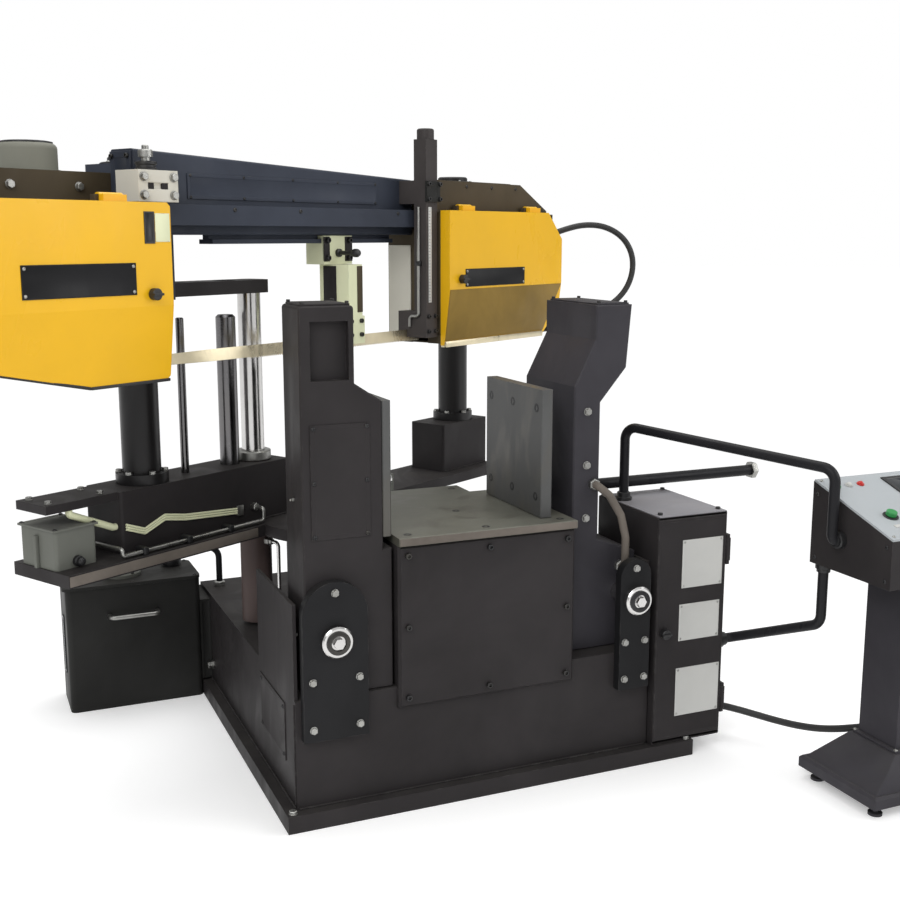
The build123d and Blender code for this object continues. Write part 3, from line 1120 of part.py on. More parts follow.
def control(name, head_radius, head_height, lift, pointer):
    """Make one control: a head on a stem through the panel, with a pointer ridge on a turning one."""
    across, up = controls[name]
    head_low = PANEL_SHEET + SLIDING + lift
    with BuildPart(PANEL_FACE) as button:
        bar((across, up, head_low), (across, up, head_low + head_height), head_radius, "Z")
        fillet(button.edges().sort_by(Axis(PANEL_FACE.origin, PANEL_FACE.z_dir))[-1], head_height / 5)
        if pointer:
            block((across - head_radius / 6, up - head_radius, head_low + head_height / 2),
                  (across + head_radius / 6, up + head_radius, head_low + head_height + head_radius / 6))
        bar((across, up, -BUTTON_DEPTH), (across, up, head_low), BUTTON_STEM, "Z")
    save(button, name)


control("start_button", 15, 12, BUTTON_TRAVEL, False)
control("stop_button", 15, 12, BUTTON_TRAVEL, False)
control("selector_knob", 17, 18, 0, True)
control("feed_knob", 22, 22, 0, True)
control("emergency_stop", 20, 20, BUTTON_TRAVEL, False)

# Conduits: two rigid pipes and one flexible one between the machine and the console
upper_points = [(*UPPER_CONDUIT[:2], CABINET_TOP), UPPER_CONDUIT, UPPER_CONDUIT_END,
                (*UPPER_CONDUIT_END[:2], UPPER_CONDUIT_ENTRY),
                (CONSOLE_X[0], UPPER_CONDUIT_END[1], UPPER_CONDUIT_ENTRY)]
lower_points = [(CABINET[1], *LOWER_CONDUIT[1:]), LOWER_CONDUIT, LOWER_CONDUIT_END,
                (*LOWER_CONDUIT_END[:2], HEAD_BOTTOM)]
upper = tube(upper_points, [CONDUIT_BEND, CONDUIT_BEND, CONDUIT_BEND / 2], CONDUIT_RADIUS, "upper conduit")
lower = tube(lower_points, [CONDUIT_BEND, CONDUIT_BEND], CONDUIT_RADIUS, "lower conduit")
save_group([upper, lower], "conduits")
floor_conduit = tube(FLOOR_ROUTE, bend_radii(FLOOR_ROUTE), HOSE_RADIUS, "floor_conduit")
save(floor_conduit, "floor_conduit")
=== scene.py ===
"""Twin pillar mitre band saw: finishes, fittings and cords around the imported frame.

Metres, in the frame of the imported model: +X runs to the right along the front, +Y to the back, +Z up.
Sizes of pieces are given in millimetres; matrices, and what goes to an operator as it is, in metres.
The bow has its own frame: u along the blade, v to the back, z up, turned about the swivel axis by the
mitre angle that it stands at.
"""

import logging
import math
from collections.abc import Callable, Iterator, Sequence
from contextlib import contextmanager
from dataclasses import dataclass, field
from enum import Enum

import bpy
from mathutils import Matrix, Vector


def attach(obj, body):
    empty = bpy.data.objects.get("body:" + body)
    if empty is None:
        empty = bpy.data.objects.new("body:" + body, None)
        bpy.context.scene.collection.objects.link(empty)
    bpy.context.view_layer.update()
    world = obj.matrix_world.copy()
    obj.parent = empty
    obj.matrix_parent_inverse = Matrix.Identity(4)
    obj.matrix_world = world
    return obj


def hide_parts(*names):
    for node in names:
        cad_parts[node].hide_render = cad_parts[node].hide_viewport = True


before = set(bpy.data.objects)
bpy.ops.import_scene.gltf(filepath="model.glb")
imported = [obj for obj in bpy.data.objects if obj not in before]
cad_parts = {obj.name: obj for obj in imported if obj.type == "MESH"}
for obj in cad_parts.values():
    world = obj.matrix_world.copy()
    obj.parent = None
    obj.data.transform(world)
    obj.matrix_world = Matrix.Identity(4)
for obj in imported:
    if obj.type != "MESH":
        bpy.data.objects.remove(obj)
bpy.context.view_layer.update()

log = logging.getLogger("twin_pillar_saw")

Point = tuple[float, float, float]
Rgb = tuple[float, float, float]
Box = tuple[float, float, float, float]
Steps = Sequence[tuple[float, float]]
Object = bpy.types.Object
Material = bpy.types.Material
Node = bpy.types.Node
NodeTree = bpy.types.NodeTree
Socket = bpy.types.NodeSocket
Sockets = bpy.types.bpy_prop_collection

MM = 0.001
UP: Point = (0, 0, 1)
DOWN: Point = (0, 0, -1)
FRONT: Point = (0, -1, 0)
REAR: Point = (0, 1, 0)
LEFT: Point = (-1, 0, 0)
RIGHT: Point = (1, 0, 0)
BOW_ANGLE = math.radians(30)
SAW_FRAME = Matrix.Identity(4)
BOW_FRAME = Matrix.Translation((-0.25, 0, 0)) @ Matrix.Rotation(BOW_ANGLE, 4, "Z")
PANEL_FRAME = Matrix.Translation((1.075, -1.23, 0.8)) @ Matrix.Rotation(math.atan2(105, 320), 4, "X")
FACING = 0.9
ON_AXIS = 1e-5
SMOOTH_ANGLE = math.radians(35)
TURNED_SIDES = 28
PIPE_SIDES = 14
BEND_STEPS = 6
TRAY_EDGE = 0.5
DROP_PITCH = 1.1
DROP_SHAPE = (0.85, 0.85, 0.7)
SLAT_RIM = 0.5
SLAT_LEAN = 6
SLAT_RISE = 4
SLAT_PITCH = 24
PLATE_THICKNESS = 2
PLATE_DEPTH = 0.5
VISE_ROD = (-330, 815)
HOSE_ROUTE: tuple[Point, ...] = (
    (1090, -50, 1595),
    (1133, -105, 1622),
    (1183, -167, 1640),
    (1231, -228, 1632),
    (1274, -281, 1592),
    (1297, -311, 1525),
    (1297, -311, 1448),
    (1277, -286, 1378),
    (1239, -237, 1326),
    (1191, -177, 1298),
    (1140, -112, 1296),
    (1090, -50, 1315),
)
FLOOR_ROUTE: tuple[Point, ...] = (
    (766, -560, 112),
    (812, -570, 104),
    (856, -598, 94),
    (896, -642, 86),
    (931, -698, 82),
    (962, -760, 84),
    (990, -825, 94),
    (1014, -885, 112),
    (1032, -938, 134),
    (1040, -979, 152),
)


class Sheet:
    """A node tree that is being laid out."""

    def __init__(self, tree: NodeTree) -> None:
        """Keeps the tree that nodes go into."""
        self.tree = tree

    @classmethod
    def for_material(cls, name: str) -> tuple[Material, "Sheet", Sockets, Socket]:
        """Starts a material.

        Args:
            name: The material's name.

        Returns:
            The material, its sheet, its shader's inputs and the object coordinates.
        """
        material = bpy.data.materials.new(name)
        material.use_nodes = True
        sheet = cls(material.node_tree)
        shader = material.node_tree.nodes["Principled BSDF"].inputs
        return material, sheet, shader, sheet.put("ShaderNodeTexCoord").outputs["Object"]

    def feed(self, socket: Socket, value: object) -> None:
        """Links an output to an input socket, or sets a plain value on it."""
        if isinstance(value, Socket):
            self.tree.links.new(value, socket)
        else:
            socket.default_value = value

    def put(self, kind: str, sockets: dict | None = None, **settings: object) -> Node:
        """Adds a node.

        Args:
            kind: Blender's name of the node.
            sockets: Input name or number to a value, or to an output that is linked to it.
            settings: The node's own properties.

        Returns:
            The new node.
        """
        node = self.tree.nodes.new(kind)
        for name, value in settings.items():
            setattr(node, name, value)
        for name, value in (sockets or {}).items():
            self.feed(node.inputs[name], value)
        return node

    def effect(self, layout: Callable[[str], NodeTree], place: Socket, **numbers: float) -> Sockets:
        """Places a shared effect, laid out at its first use, and returns its outputs."""
        name = layout.__name__
        tree = bpy.data.node_groups.get(name) or layout(name)
        return self.put("ShaderNodeGroup", {"Vector": place, **numbers}, node_tree=tree).outputs

    def sum(self, kind: str, first: object, second: object, clamp: bool = False) -> Socket:
        """Does one sum with a Math node and returns its output."""
        return self.put("ShaderNodeMath", {0: first, 1: second}, operation=kind, use_clamp=clamp).outputs[0]

    def blend(self, share: object, first: Rgb | Socket, second: Rgb | Socket) -> Socket:
        """Mixes two colours by a share and returns the mixed colour."""
        node = self.put("ShaderNodeMix", data_type="RGBA")
        for name, value in (("Factor_Float", share), ("A_Color", first), ("B_Color", second)):
            socket = next(s for s in node.inputs if s.identifier == name)
            self.feed(socket, (*value, 1.0) if isinstance(value, tuple) else value)
        return next(s for s in node.outputs if s.identifier == "Result_Color")

    def spread(
        self, value: Socket, low: float, high: float, to_low: float = 0.0, to_high: float = 1.0
    ) -> Socket:
        """Maps a value from one range to another, held at its ends, and returns it."""
        sockets = {"Value": value, "From Min": low, "From Max": high, "To Min": to_low, "To Max": to_high}
        return self.put("ShaderNodeMapRange", sockets, clamp=True).outputs[0]

    def noise(
        self, place: Socket, scale: object, detail: float, roughness: float = 0.5, distortion: float = 0.0
    ) -> Socket:
        """Adds a noise texture and returns its value."""
        sockets = {"Vector": place, "Scale": scale, "Detail": detail}
        sockets |= {"Roughness": roughness, "Distortion": distortion}
        return self.put("ShaderNodeTexNoise", sockets).outputs[0]

    def bump(self, strength: float, distance: float, height: Socket, normal: Socket) -> Socket:
        """Adds a bump on top of a normal and returns the new normal."""
        sockets = {"Strength": strength, "Distance": distance, "Height": height, "Normal": normal}
        return self.put("ShaderNodeBump", sockets).outputs[0]


class SharedEffects:
    """The layouts of the effects that several finishes use, each a node group that is built once."""

    @staticmethod
    def group(name: str, inputs: Sequence[str], outputs: Sequence[str]) -> tuple[Sheet, Sockets, Sockets]:
        """Starts a node group.

        Args:
            name: The group's name.
            inputs: Names of the numbers that the group takes besides its Vector.
            outputs: Names of the numbers that it puts out, and Normal, which is a vector.

        Returns:
            The sheet, what the group is given and what it makes.
        """
        tree = bpy.data.node_groups.new(name, "ShaderNodeTree")
        for way, names in (("INPUT", ("Vector", *inputs)), ("OUTPUT", outputs)):
            for socket in names:
                kind = "NodeSocketVector" if socket in ("Vector", "Normal") else "NodeSocketFloat"
                tree.interface.new_socket(socket, in_out=way, socket_type=kind)
        sheet = Sheet(tree)
        return sheet, sheet.put("NodeGroupInput").outputs, sheet.put("NodeGroupOutput").inputs

    @classmethod
    def edge_wear(cls, name: str) -> NodeTree:
        """Rubbed edges: a patchy mask on sharp edges, and a normal that rounds them."""
        sheet, given, made = cls.group(name, ("Radius", "Patch"), ("Mask", "Normal"))
        rounded = sheet.put("ShaderNodeBevel", {"Radius": given["Radius"]}, samples=4).outputs[0]
        plain = sheet.put("ShaderNodeNewGeometry").outputs["Normal"]
        facing = sheet.put("ShaderNodeVectorMath", {0: rounded, 1: plain}, operation="DOT_PRODUCT")
        edge = sheet.spread(facing.outputs["Value"], 0.985, 0.86)
        rubbed = sheet.spread(sheet.noise(given["Vector"], given["Patch"], 5.0), 0.50, 0.62)
        sheet.feed(made["Mask"], sheet.sum("MULTIPLY", edge, rubbed))
        sheet.feed(made["Normal"], rounded)
        return sheet.tree

    @classmethod
    def surface_grain(cls, name: str) -> NodeTree:
        """Fine grain over broad drifts: a height for bumps and a slow tone for colour."""
        sheet, given, made = cls.group(name, ("Fine", "Broad"), ("Height", "Tone"))
        sheet.feed(made["Height"], sheet.noise(given["Vector"], given["Fine"], 3.0))
        broad = sheet.noise(given["Vector"], given["Broad"], 6.0, 0.62, 0.4)
        sheet.feed(made["Tone"], sheet.spread(broad, 0.3, 0.7))
        return sheet.tree

    @classmethod
    def settled_dust(cls, name: str) -> NodeTree:
        """Dust and fine swarf that settles on faces that look up, thinner where it was wiped."""
        sheet, given, made = cls.group(name, ("Amount",), ("Mask",))
        normal = sheet.put("ShaderNodeNewGeometry").outputs["Normal"]
        level = sheet.spread(sheet.put("ShaderNodeSeparateXYZ", {0: normal}).outputs["Z"], 0.55, 0.98)
        lying = sheet.spread(sheet.noise(given["Vector"], 7.0, 8.0, 0.7), 0.35, 0.72, 0.15)
        share = sheet.sum("MULTIPLY", level, lying)
        sheet.feed(made["Mask"], sheet.sum("MULTIPLY", share, given["Amount"], True))
        return sheet.tree

    @classmethod
    def oil_film(cls, name: str) -> NodeTree:
        """Smears of oil and coolant: a mask of soft blotches with drawn-out runs."""
        sheet, given, made = cls.group(name, ("Scale",), ("Mask",))
        drawn = sheet.put("ShaderNodeMapping", {"Vector": given["Vector"], "Scale": (1.0, 1.0, 0.35)})
        blotch = sheet.noise(drawn.outputs[0], given["Scale"], 4.0, 0.55, 1.2)
        sheet.feed(made["Mask"], sheet.spread(blotch, 0.46, 0.66))
        return sheet.tree

    @classmethod
    def tool_marks(cls, name: str) -> NodeTree:
        """Parallel cutter marks of a machined face, wavering a little: a height."""
        sheet, given, made = cls.group(name, ("Scale",), ("Height",))
        sockets = {"Vector": given["Vector"], "Scale": given["Scale"]}
        sockets |= {"Distortion": 1.6, "Detail": 2.0, "Detail Scale": 1.5}
        lines = sheet.put("ShaderNodeTexWave", sockets, wave_type="BANDS", bands_direction="X")
        sheet.feed(made["Height"], lines.outputs["Fac"])
        return sheet.tree


def scaled(colour: Rgb, share: float, lift: float = 0.0) -> Rgb:
    """Gives a colour scaled by a share and lifted, held at full white."""
    return tuple(min(1.0, part * share + lift) for part in colour)


@dataclass(frozen=True)
class Finish:
    """What every finish has: a name, and a material that is built once."""

    name: str

    @property
    def full_name(self) -> str:
        """The material's name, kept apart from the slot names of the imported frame."""
        return f"{self.name}_finish"

    def make(self) -> Material:
        """Builds the material of the finish."""
        raise NotImplementedError

    def material(self) -> Material:
        """Returns the material, built at its first use."""
        return bpy.data.materials.get(self.full_name) or self.make()


@dataclass(frozen=True)
class MachinePaint(Finish):
    """Sprayed paint on steel: orange peel, rubbed edges, dust above and smears of oil."""

    colour: Rgb
    rubbed: Rgb = (0.13, 0.125, 0.12)
    dust: Rgb = (0.085, 0.08, 0.072)
    roughness: float = 0.52
    coat: float = 0.0
    wear: float = 0.55
    dusting: float = 0.35
    drift: float = 0.22
    specular: float = 0.13
    peel: float = 0.00022
    peel_strength: float = 0.55
    edge: float = 0.0022
    dry: float = 0.06
    oiled: float = 0.10
    dulled: float = 0.3
    coat_roughness: float = 0.12

    def make(self) -> Material:
        """Builds the material of the paint."""
        material, sheet, shader, place = Sheet.for_material(self.full_name)
        worn = sheet.effect(SharedEffects.edge_wear, place, Radius=self.edge, Patch=34.0)
        grain = sheet.effect(SharedEffects.surface_grain, place, Fine=420.0, Broad=2.6)
        dusty = sheet.effect(SharedEffects.settled_dust, place, Amount=self.dusting)["Mask"]
        oily = sheet.effect(SharedEffects.oil_film, place, Scale=5.5)["Mask"]
        low, high = scaled(self.colour, 1 - self.drift), scaled(self.colour, 1 + self.drift)
        dulled = sheet.blend(dusty, sheet.blend(grain["Tone"], low, high), self.dust)
        bare = sheet.sum("MULTIPLY", worn["Mask"], self.wear)
        sheet.feed(shader["Base Color"], sheet.blend(bare, dulled, self.rubbed))
        sheen = sheet.spread(oily, 0.0, 1.0, self.roughness + self.dry, self.roughness - self.oiled)
        dull = sheet.sum("MULTIPLY", dusty, self.dulled)
        sheet.feed(shader["Roughness"], sheet.sum("ADD", sheen, dull, True))
        bump = sheet.bump(self.peel_strength, self.peel, grain["Height"], worn["Normal"])
        sheet.feed(shader["Normal"], bump)
        sheet.feed(shader["Specular IOR Level"], self.specular)
        sheet.feed(shader["Coat Weight"], self.coat)
        sheet.feed(shader["Coat Roughness"], self.coat_roughness)
        return material


@dataclass(frozen=True)
class WorkedSteel(Finish):
    """Bare steel with cutter marks, smears of oil and bright rubbed edges."""

    colour: Rgb
    stain: Rgb = (0.10, 0.09, 0.07)
    metallic: float = 0.85
    roughness: float = 0.36
    marks: float = 260.0
    turn: Point = (0.0, 0.0, 0.0)
    mark_height: float = 0.00012
    mark_strength: float = 0.5
    stained: float = 0.5
    edge: float = 0.0012
    shaded: float = 0.82
    polished: float = 1.6
    bared: float = 0.05
    oiled: float = 0.12
    grained: float = 0.12
    smoothest: float = 0.05

    def make(self) -> Material:
        """Builds the material of the steel."""
        material, sheet, shader, place = Sheet.for_material(self.full_name)
        lay = sheet.put("ShaderNodeMapping", {"Vector": place, "Rotation": self.turn}).outputs[0]
        worn = sheet.effect(SharedEffects.edge_wear, place, Radius=self.edge, Patch=60.0)
        grain = sheet.effect(SharedEffects.surface_grain, place, Fine=700.0, Broad=4.0)
        oily = sheet.effect(SharedEffects.oil_film, place, Scale=9.0)["Mask"]
        marks = sheet.effect(SharedEffects.tool_marks, lay, Scale=self.marks)
        metal = sheet.blend(grain["Tone"], scaled(self.colour, self.shaded), self.colour)
        stained = sheet.blend(sheet.sum("MULTIPLY", oily, self.stained), metal, self.stain)
        bright = scaled(self.colour, self.polished, self.bared)
        sheet.feed(shader["Base Color"], sheet.blend(worn["Mask"], stained, bright))
        smooth = max(self.smoothest, self.roughness - self.oiled)
        wet = sheet.spread(oily, 0.0, 1.0, self.roughness, smooth)
        matt = sheet.sum("MULTIPLY", grain["Height"], self.grained)
        sheet.feed(shader["Roughness"], sheet.sum("ADD", wet, matt, True))
        cut = sheet.sum("ADD", marks["Height"], grain["Height"])
        bump = sheet.bump(self.mark_strength, self.mark_height, cut, worn["Normal"])
        sheet.feed(shader["Normal"], bump)
        sheet.feed(shader["Metallic"], self.metallic)
        return material


@dataclass(frozen=True)
class MouldedPlastic(Finish):
    """Moulded plastic or rubber: a fine grain, scuffs and a soft shine."""

    colour: Rgb
    scuff: Rgb = (0.12, 0.12, 0.12)
    roughness: float = 0.42
    grain: float = 900.0
    height: float = 0.0001
    strength: float = 0.4
    edge: float = 0.0012
    shaded: float = 0.8
    scuffed: float = 0.4
    shiny: float = 0.06
    dull: float = 0.08

    def make(self) -> Material:
        """Builds the material of the plastic."""
        material, sheet, shader, place = Sheet.for_material(self.full_name)
        worn = sheet.effect(SharedEffects.edge_wear, place, Radius=self.edge, Patch=90.0)
        grain = sheet.effect(SharedEffects.surface_grain, place, Fine=self.grain, Broad=14.0)
        body = sheet.blend(grain["Tone"], scaled(self.colour, self.shaded), self.colour)
        rubbed = sheet.sum("MULTIPLY", worn["Mask"], self.scuffed)
        sheet.feed(shader["Base Color"], sheet.blend(rubbed, body, self.scuff))
        least, most = self.roughness - self.shiny, self.roughness + self.dull
        sheet.feed(shader["Roughness"], sheet.spread(grain["Tone"], 0.0, 1.0, least, most))
        bump = sheet.bump(self.strength, self.height, grain["Height"], worn["Normal"])
        sheet.feed(shader["Normal"], bump)
        return material


class Coat(Enum):
    """Every finish on the saw, by its plain name."""

    CHARCOAL = MachinePaint("charcoal_paint", (0.0265, 0.0238, 0.0245))
    DEEP_CHARCOAL = MachinePaint("deep_charcoal_paint", (0.0195, 0.0195, 0.0185), roughness=0.5)
    # Graphite on the console stand is painted light: a lighter grey than the charcoal head that lifts the
    # shaded column.
    GRAPHITE = MachinePaint("graphite_paint", (0.040, 0.038, 0.044))
    SLATE = MachinePaint("slate_paint", (0.036, 0.042, 0.058), roughness=0.46)
    UMBER = MachinePaint("umber_paint", (0.066, 0.051, 0.031), roughness=0.48)
    DUSK = MachinePaint("dusk_paint", (0.052, 0.046, 0.045), roughness=0.48)
    BLACK = MachinePaint("black_paint", (0.012, 0.012, 0.013), roughness=0.38, dusting=0.2)
    YELLOW = MachinePaint(
        "yellow_paint",
        (0.775, 0.43, 0.007),
        rubbed=(0.50, 0.30, 0.06),
        dust=(0.62, 0.45, 0.16),
        roughness=0.33,
        coat=0.08,
        specular=0.3,
        wear=0.45,
        dusting=0.3,
        drift=0.05,
    )
    # Darker ochre of the right door's lower panel: painted shade on the undercut skirt.
    OCHRE = MachinePaint(
        "painted_shade_ochre", (0.235, 0.150, 0.034), (0.16, 0.11, 0.04), (0.20, 0.15, 0.07), drift=0.25
    )
    LIGHT_GREY = MachinePaint(
        "light_grey_paint", (0.72, 0.74, 0.50), (0.20, 0.19, 0.18), (0.3, 0.29, 0.26), drift=0.08
    )
    PALE_GREY = MachinePaint(
        "pale_grey_paint", (0.60, 0.58, 0.51), (0.3, 0.29, 0.27), (0.42, 0.41, 0.38), drift=0.06
    )
    LID_GREY = MachinePaint(
        "lid_grey_paint", (0.23, 0.226, 0.244), (0.2, 0.2, 0.2), (0.3, 0.29, 0.28), drift=0.1
    )
    BARE_EDGE = MachinePaint(
        "bare_edge", (0.15, 0.130, 0.112), (0.2, 0.18, 0.16), (0.15, 0.135, 0.12), drift=0.35
    )
    STONE_GREY = MachinePaint(
        "stone_grey_paint", (0.145, 0.150, 0.132), (0.08, 0.08, 0.08), (0.22, 0.21, 0.19), drift=0.1
    )
    MOTOR_GREY = MachinePaint(
        "motor_grey_paint", (0.185, 0.186, 0.155), (0.08, 0.08, 0.08), (0.24, 0.23, 0.20), drift=0.1
    )
    PANEL = MachinePaint(
        "panel_paint",
        (0.365, 0.39, 0.405),
        rubbed=(0.25, 0.25, 0.25),
        dust=(0.40, 0.40, 0.40),
        roughness=0.40,
        dusting=0.15,
        drift=0.04,
    )
    PLATE = MachinePaint(
        "blank_plate", (0.52, 0.52, 0.50), (0.25, 0.25, 0.25), (0.4, 0.4, 0.38), roughness=0.38, drift=0.06
    )
    BARREL = MachinePaint("barrel_paint", (0.085, 0.062, 0.058), roughness=0.36)
    BLACK_STEEL = MachinePaint("black_tube", (0.016, 0.016, 0.018), roughness=0.34, dusting=0.2)
    BED_STEEL = WorkedSteel("bed_steel", (0.172, 0.172, 0.143), metallic=0.45, roughness=0.42, marks=70.0)
    JAW_STEEL = WorkedSteel(
        "jaw_steel",
        (0.100, 0.101, 0.100),
        metallic=0.45,
        roughness=0.44,
        marks=95.0,
        turn=(0.0, math.pi / 2, 0.0),
    )
    PILLAR_STEEL = WorkedSteel(
        "pillar_steel",
        (0.011, 0.010, 0.0105),
        stain=(0.014, 0.012, 0.011),
        metallic=0.3,
        roughness=0.36,
        marks=0.5,
        stained=0.3,
    )
    CHROME = WorkedSteel(
        "chrome_steel", (0.72, 0.71, 0.70), metallic=1.0, roughness=0.17, marks=0.5, stained=0.12
    )
    OILED = WorkedSteel(
        "oiled_rod", (0.20, 0.195, 0.20), metallic=1.0, roughness=0.2, marks=0.5, stained=0.2
    )
    BLADE = WorkedSteel(
        "blade_steel",
        (0.80, 0.71, 0.50),
        metallic=0.9,
        roughness=0.3,
        marks=160.0,
        stained=0.25,
        edge=0.0006,
    )
    IRON = WorkedSteel("wheel_iron", (0.16, 0.16, 0.16), metallic=0.8, roughness=0.45, marks=120.0)
    BRONZE = WorkedSteel("bronze", (0.45, 0.27, 0.11), (0.12, 0.07, 0.03), metallic=0.9, roughness=0.32)
    WIRE = WorkedSteel("brush_wire", (0.38, 0.33, 0.22), metallic=0.9, roughness=0.4, marks=500.0)
    ZINC = WorkedSteel(
        "zinc_steel", (0.42, 0.42, 0.40), metallic=0.95, roughness=0.32, marks=300.0, stained=0.3
    )
    OXIDE = WorkedSteel(
        "oxide_steel", (0.04, 0.04, 0.042), metallic=0.7, roughness=0.38, marks=300.0, stained=0.3
    )
    RUBBER = MouldedPlastic(
        "hose_rubber", (0.018, 0.018, 0.018), roughness=0.55, grain=600.0, height=0.0002
    )
    BLACK_PLASTIC = MouldedPlastic("latch_plastic", (0.014, 0.014, 0.015))
    RED = MouldedPlastic("red_plastic", (0.55, 0.02, 0.015), scuff=(0.7, 0.3, 0.25), roughness=0.3)
    GREEN = MouldedPlastic("green_plastic", (0.02, 0.26, 0.06), scuff=(0.3, 0.5, 0.3), roughness=0.3)
    GLASS = MouldedPlastic(
        "dark_window", (0.02, 0.024, 0.028), (0.08, 0.08, 0.08), roughness=0.12, height=2e-5
    )

    @property
    def material(self) -> Material:
        """The material of the finish."""
        return self.value.material()


NODE_COATS: dict[Coat, tuple[str, ...]] = {
    Coat.CHARCOAL: (
        "base_plinth",
        "base_walls",
        "base_deck",
        "front_panel",
        "bed_webs",
        "pivot_pedestal",
        "cabinet_shell",
        "cabinet_door",
        "console_head",
        "turntable",
        "arm_boxes",
        "left_jaw_tower",
        "hydraulic_unit",
        "bow_brackets",
    ),
    Coat.DEEP_CHARCOAL: ("coolant_tank",),
    # console_stand takes graphite as painted light: a lighter grey that lifts its shaded column.
    Coat.GRAPHITE: ("right_jaw_tower", "console_stand"),
    Coat.SLATE: ("beam", "pillar_sleeves", "upper_guard"),
    Coat.UMBER: ("left_housing", "right_housing"),
    Coat.DUSK: ("right_guide_arm",),
    Coat.BLACK: ("screw_bearings",),
    Coat.YELLOW: ("left_door", "right_door"),
    Coat.LIGHT_GREY: ("left_guide_arm",),
    Coat.STONE_GREY: ("swivel_motor", "roller_brackets"),
    Coat.MOTOR_GREY: ("drive_unit",),
    Coat.PANEL: ("console_panel",),
    Coat.BARREL: ("lift_barrel",),
    Coat.BED_STEEL: ("bed_front_plate", "bed_rear_plate"),
    Coat.JAW_STEEL: ("left_jaw_plate", "right_jaw_plate"),
    Coat.PILLAR_STEEL: ("pillars",),
    Coat.CHROME: ("lift_rod", "left_screw", "right_screw", "rest_roller"),
    Coat.OILED: ("side_rods",),
    Coat.BLADE: ("blade_wraps", "blade_runs"),
    Coat.IRON: ("drive_wheel", "idler_wheel"),
    Coat.BRONZE: ("sleeve_bushes",),
    Coat.WIRE: ("chip_brush",),
    Coat.BLACK_STEEL: ("vise_rod", "conduits"),
    Coat.BLACK_PLASTIC: ("left_latch", "right_latch", "cabinet_latch", "selector_knob", "feed_knob"),
    Coat.RED: ("emergency_stop", "stop_button"),
    Coat.GREEN: ("start_button",),
    Coat.RUBBER: ("tension_hose", "floor_conduit"),
}


def dress_nodes() -> None:
    """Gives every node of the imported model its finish."""
    for coat, names in NODE_COATS.items():
        for name in names:
            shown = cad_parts[name]
            shown.data.materials.clear()
            shown.data.materials.append(coat.material)
    bare = set(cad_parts) - {name for names in NODE_COATS.values() for name in names}
    if bare:
        raise ValueError(f"nodes without a finish: {sorted(bare)}")
    log.info("dressed %d nodes", len(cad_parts))


def anywhere(middle: Vector, normal: Vector) -> bool:
    """Picks every face."""
    return True


def on_axis(middle: Vector, normal: Vector) -> bool:
    """Picks the faces whose middle lies on the z axis."""
    return middle.xy.length < ON_AXIS


def looking(way: Point) -> Callable[[Vector, Vector], bool]:
    """Gives the test that picks the faces that look one way."""
    return lambda middle, normal: normal.dot(Vector(way)) > FACING


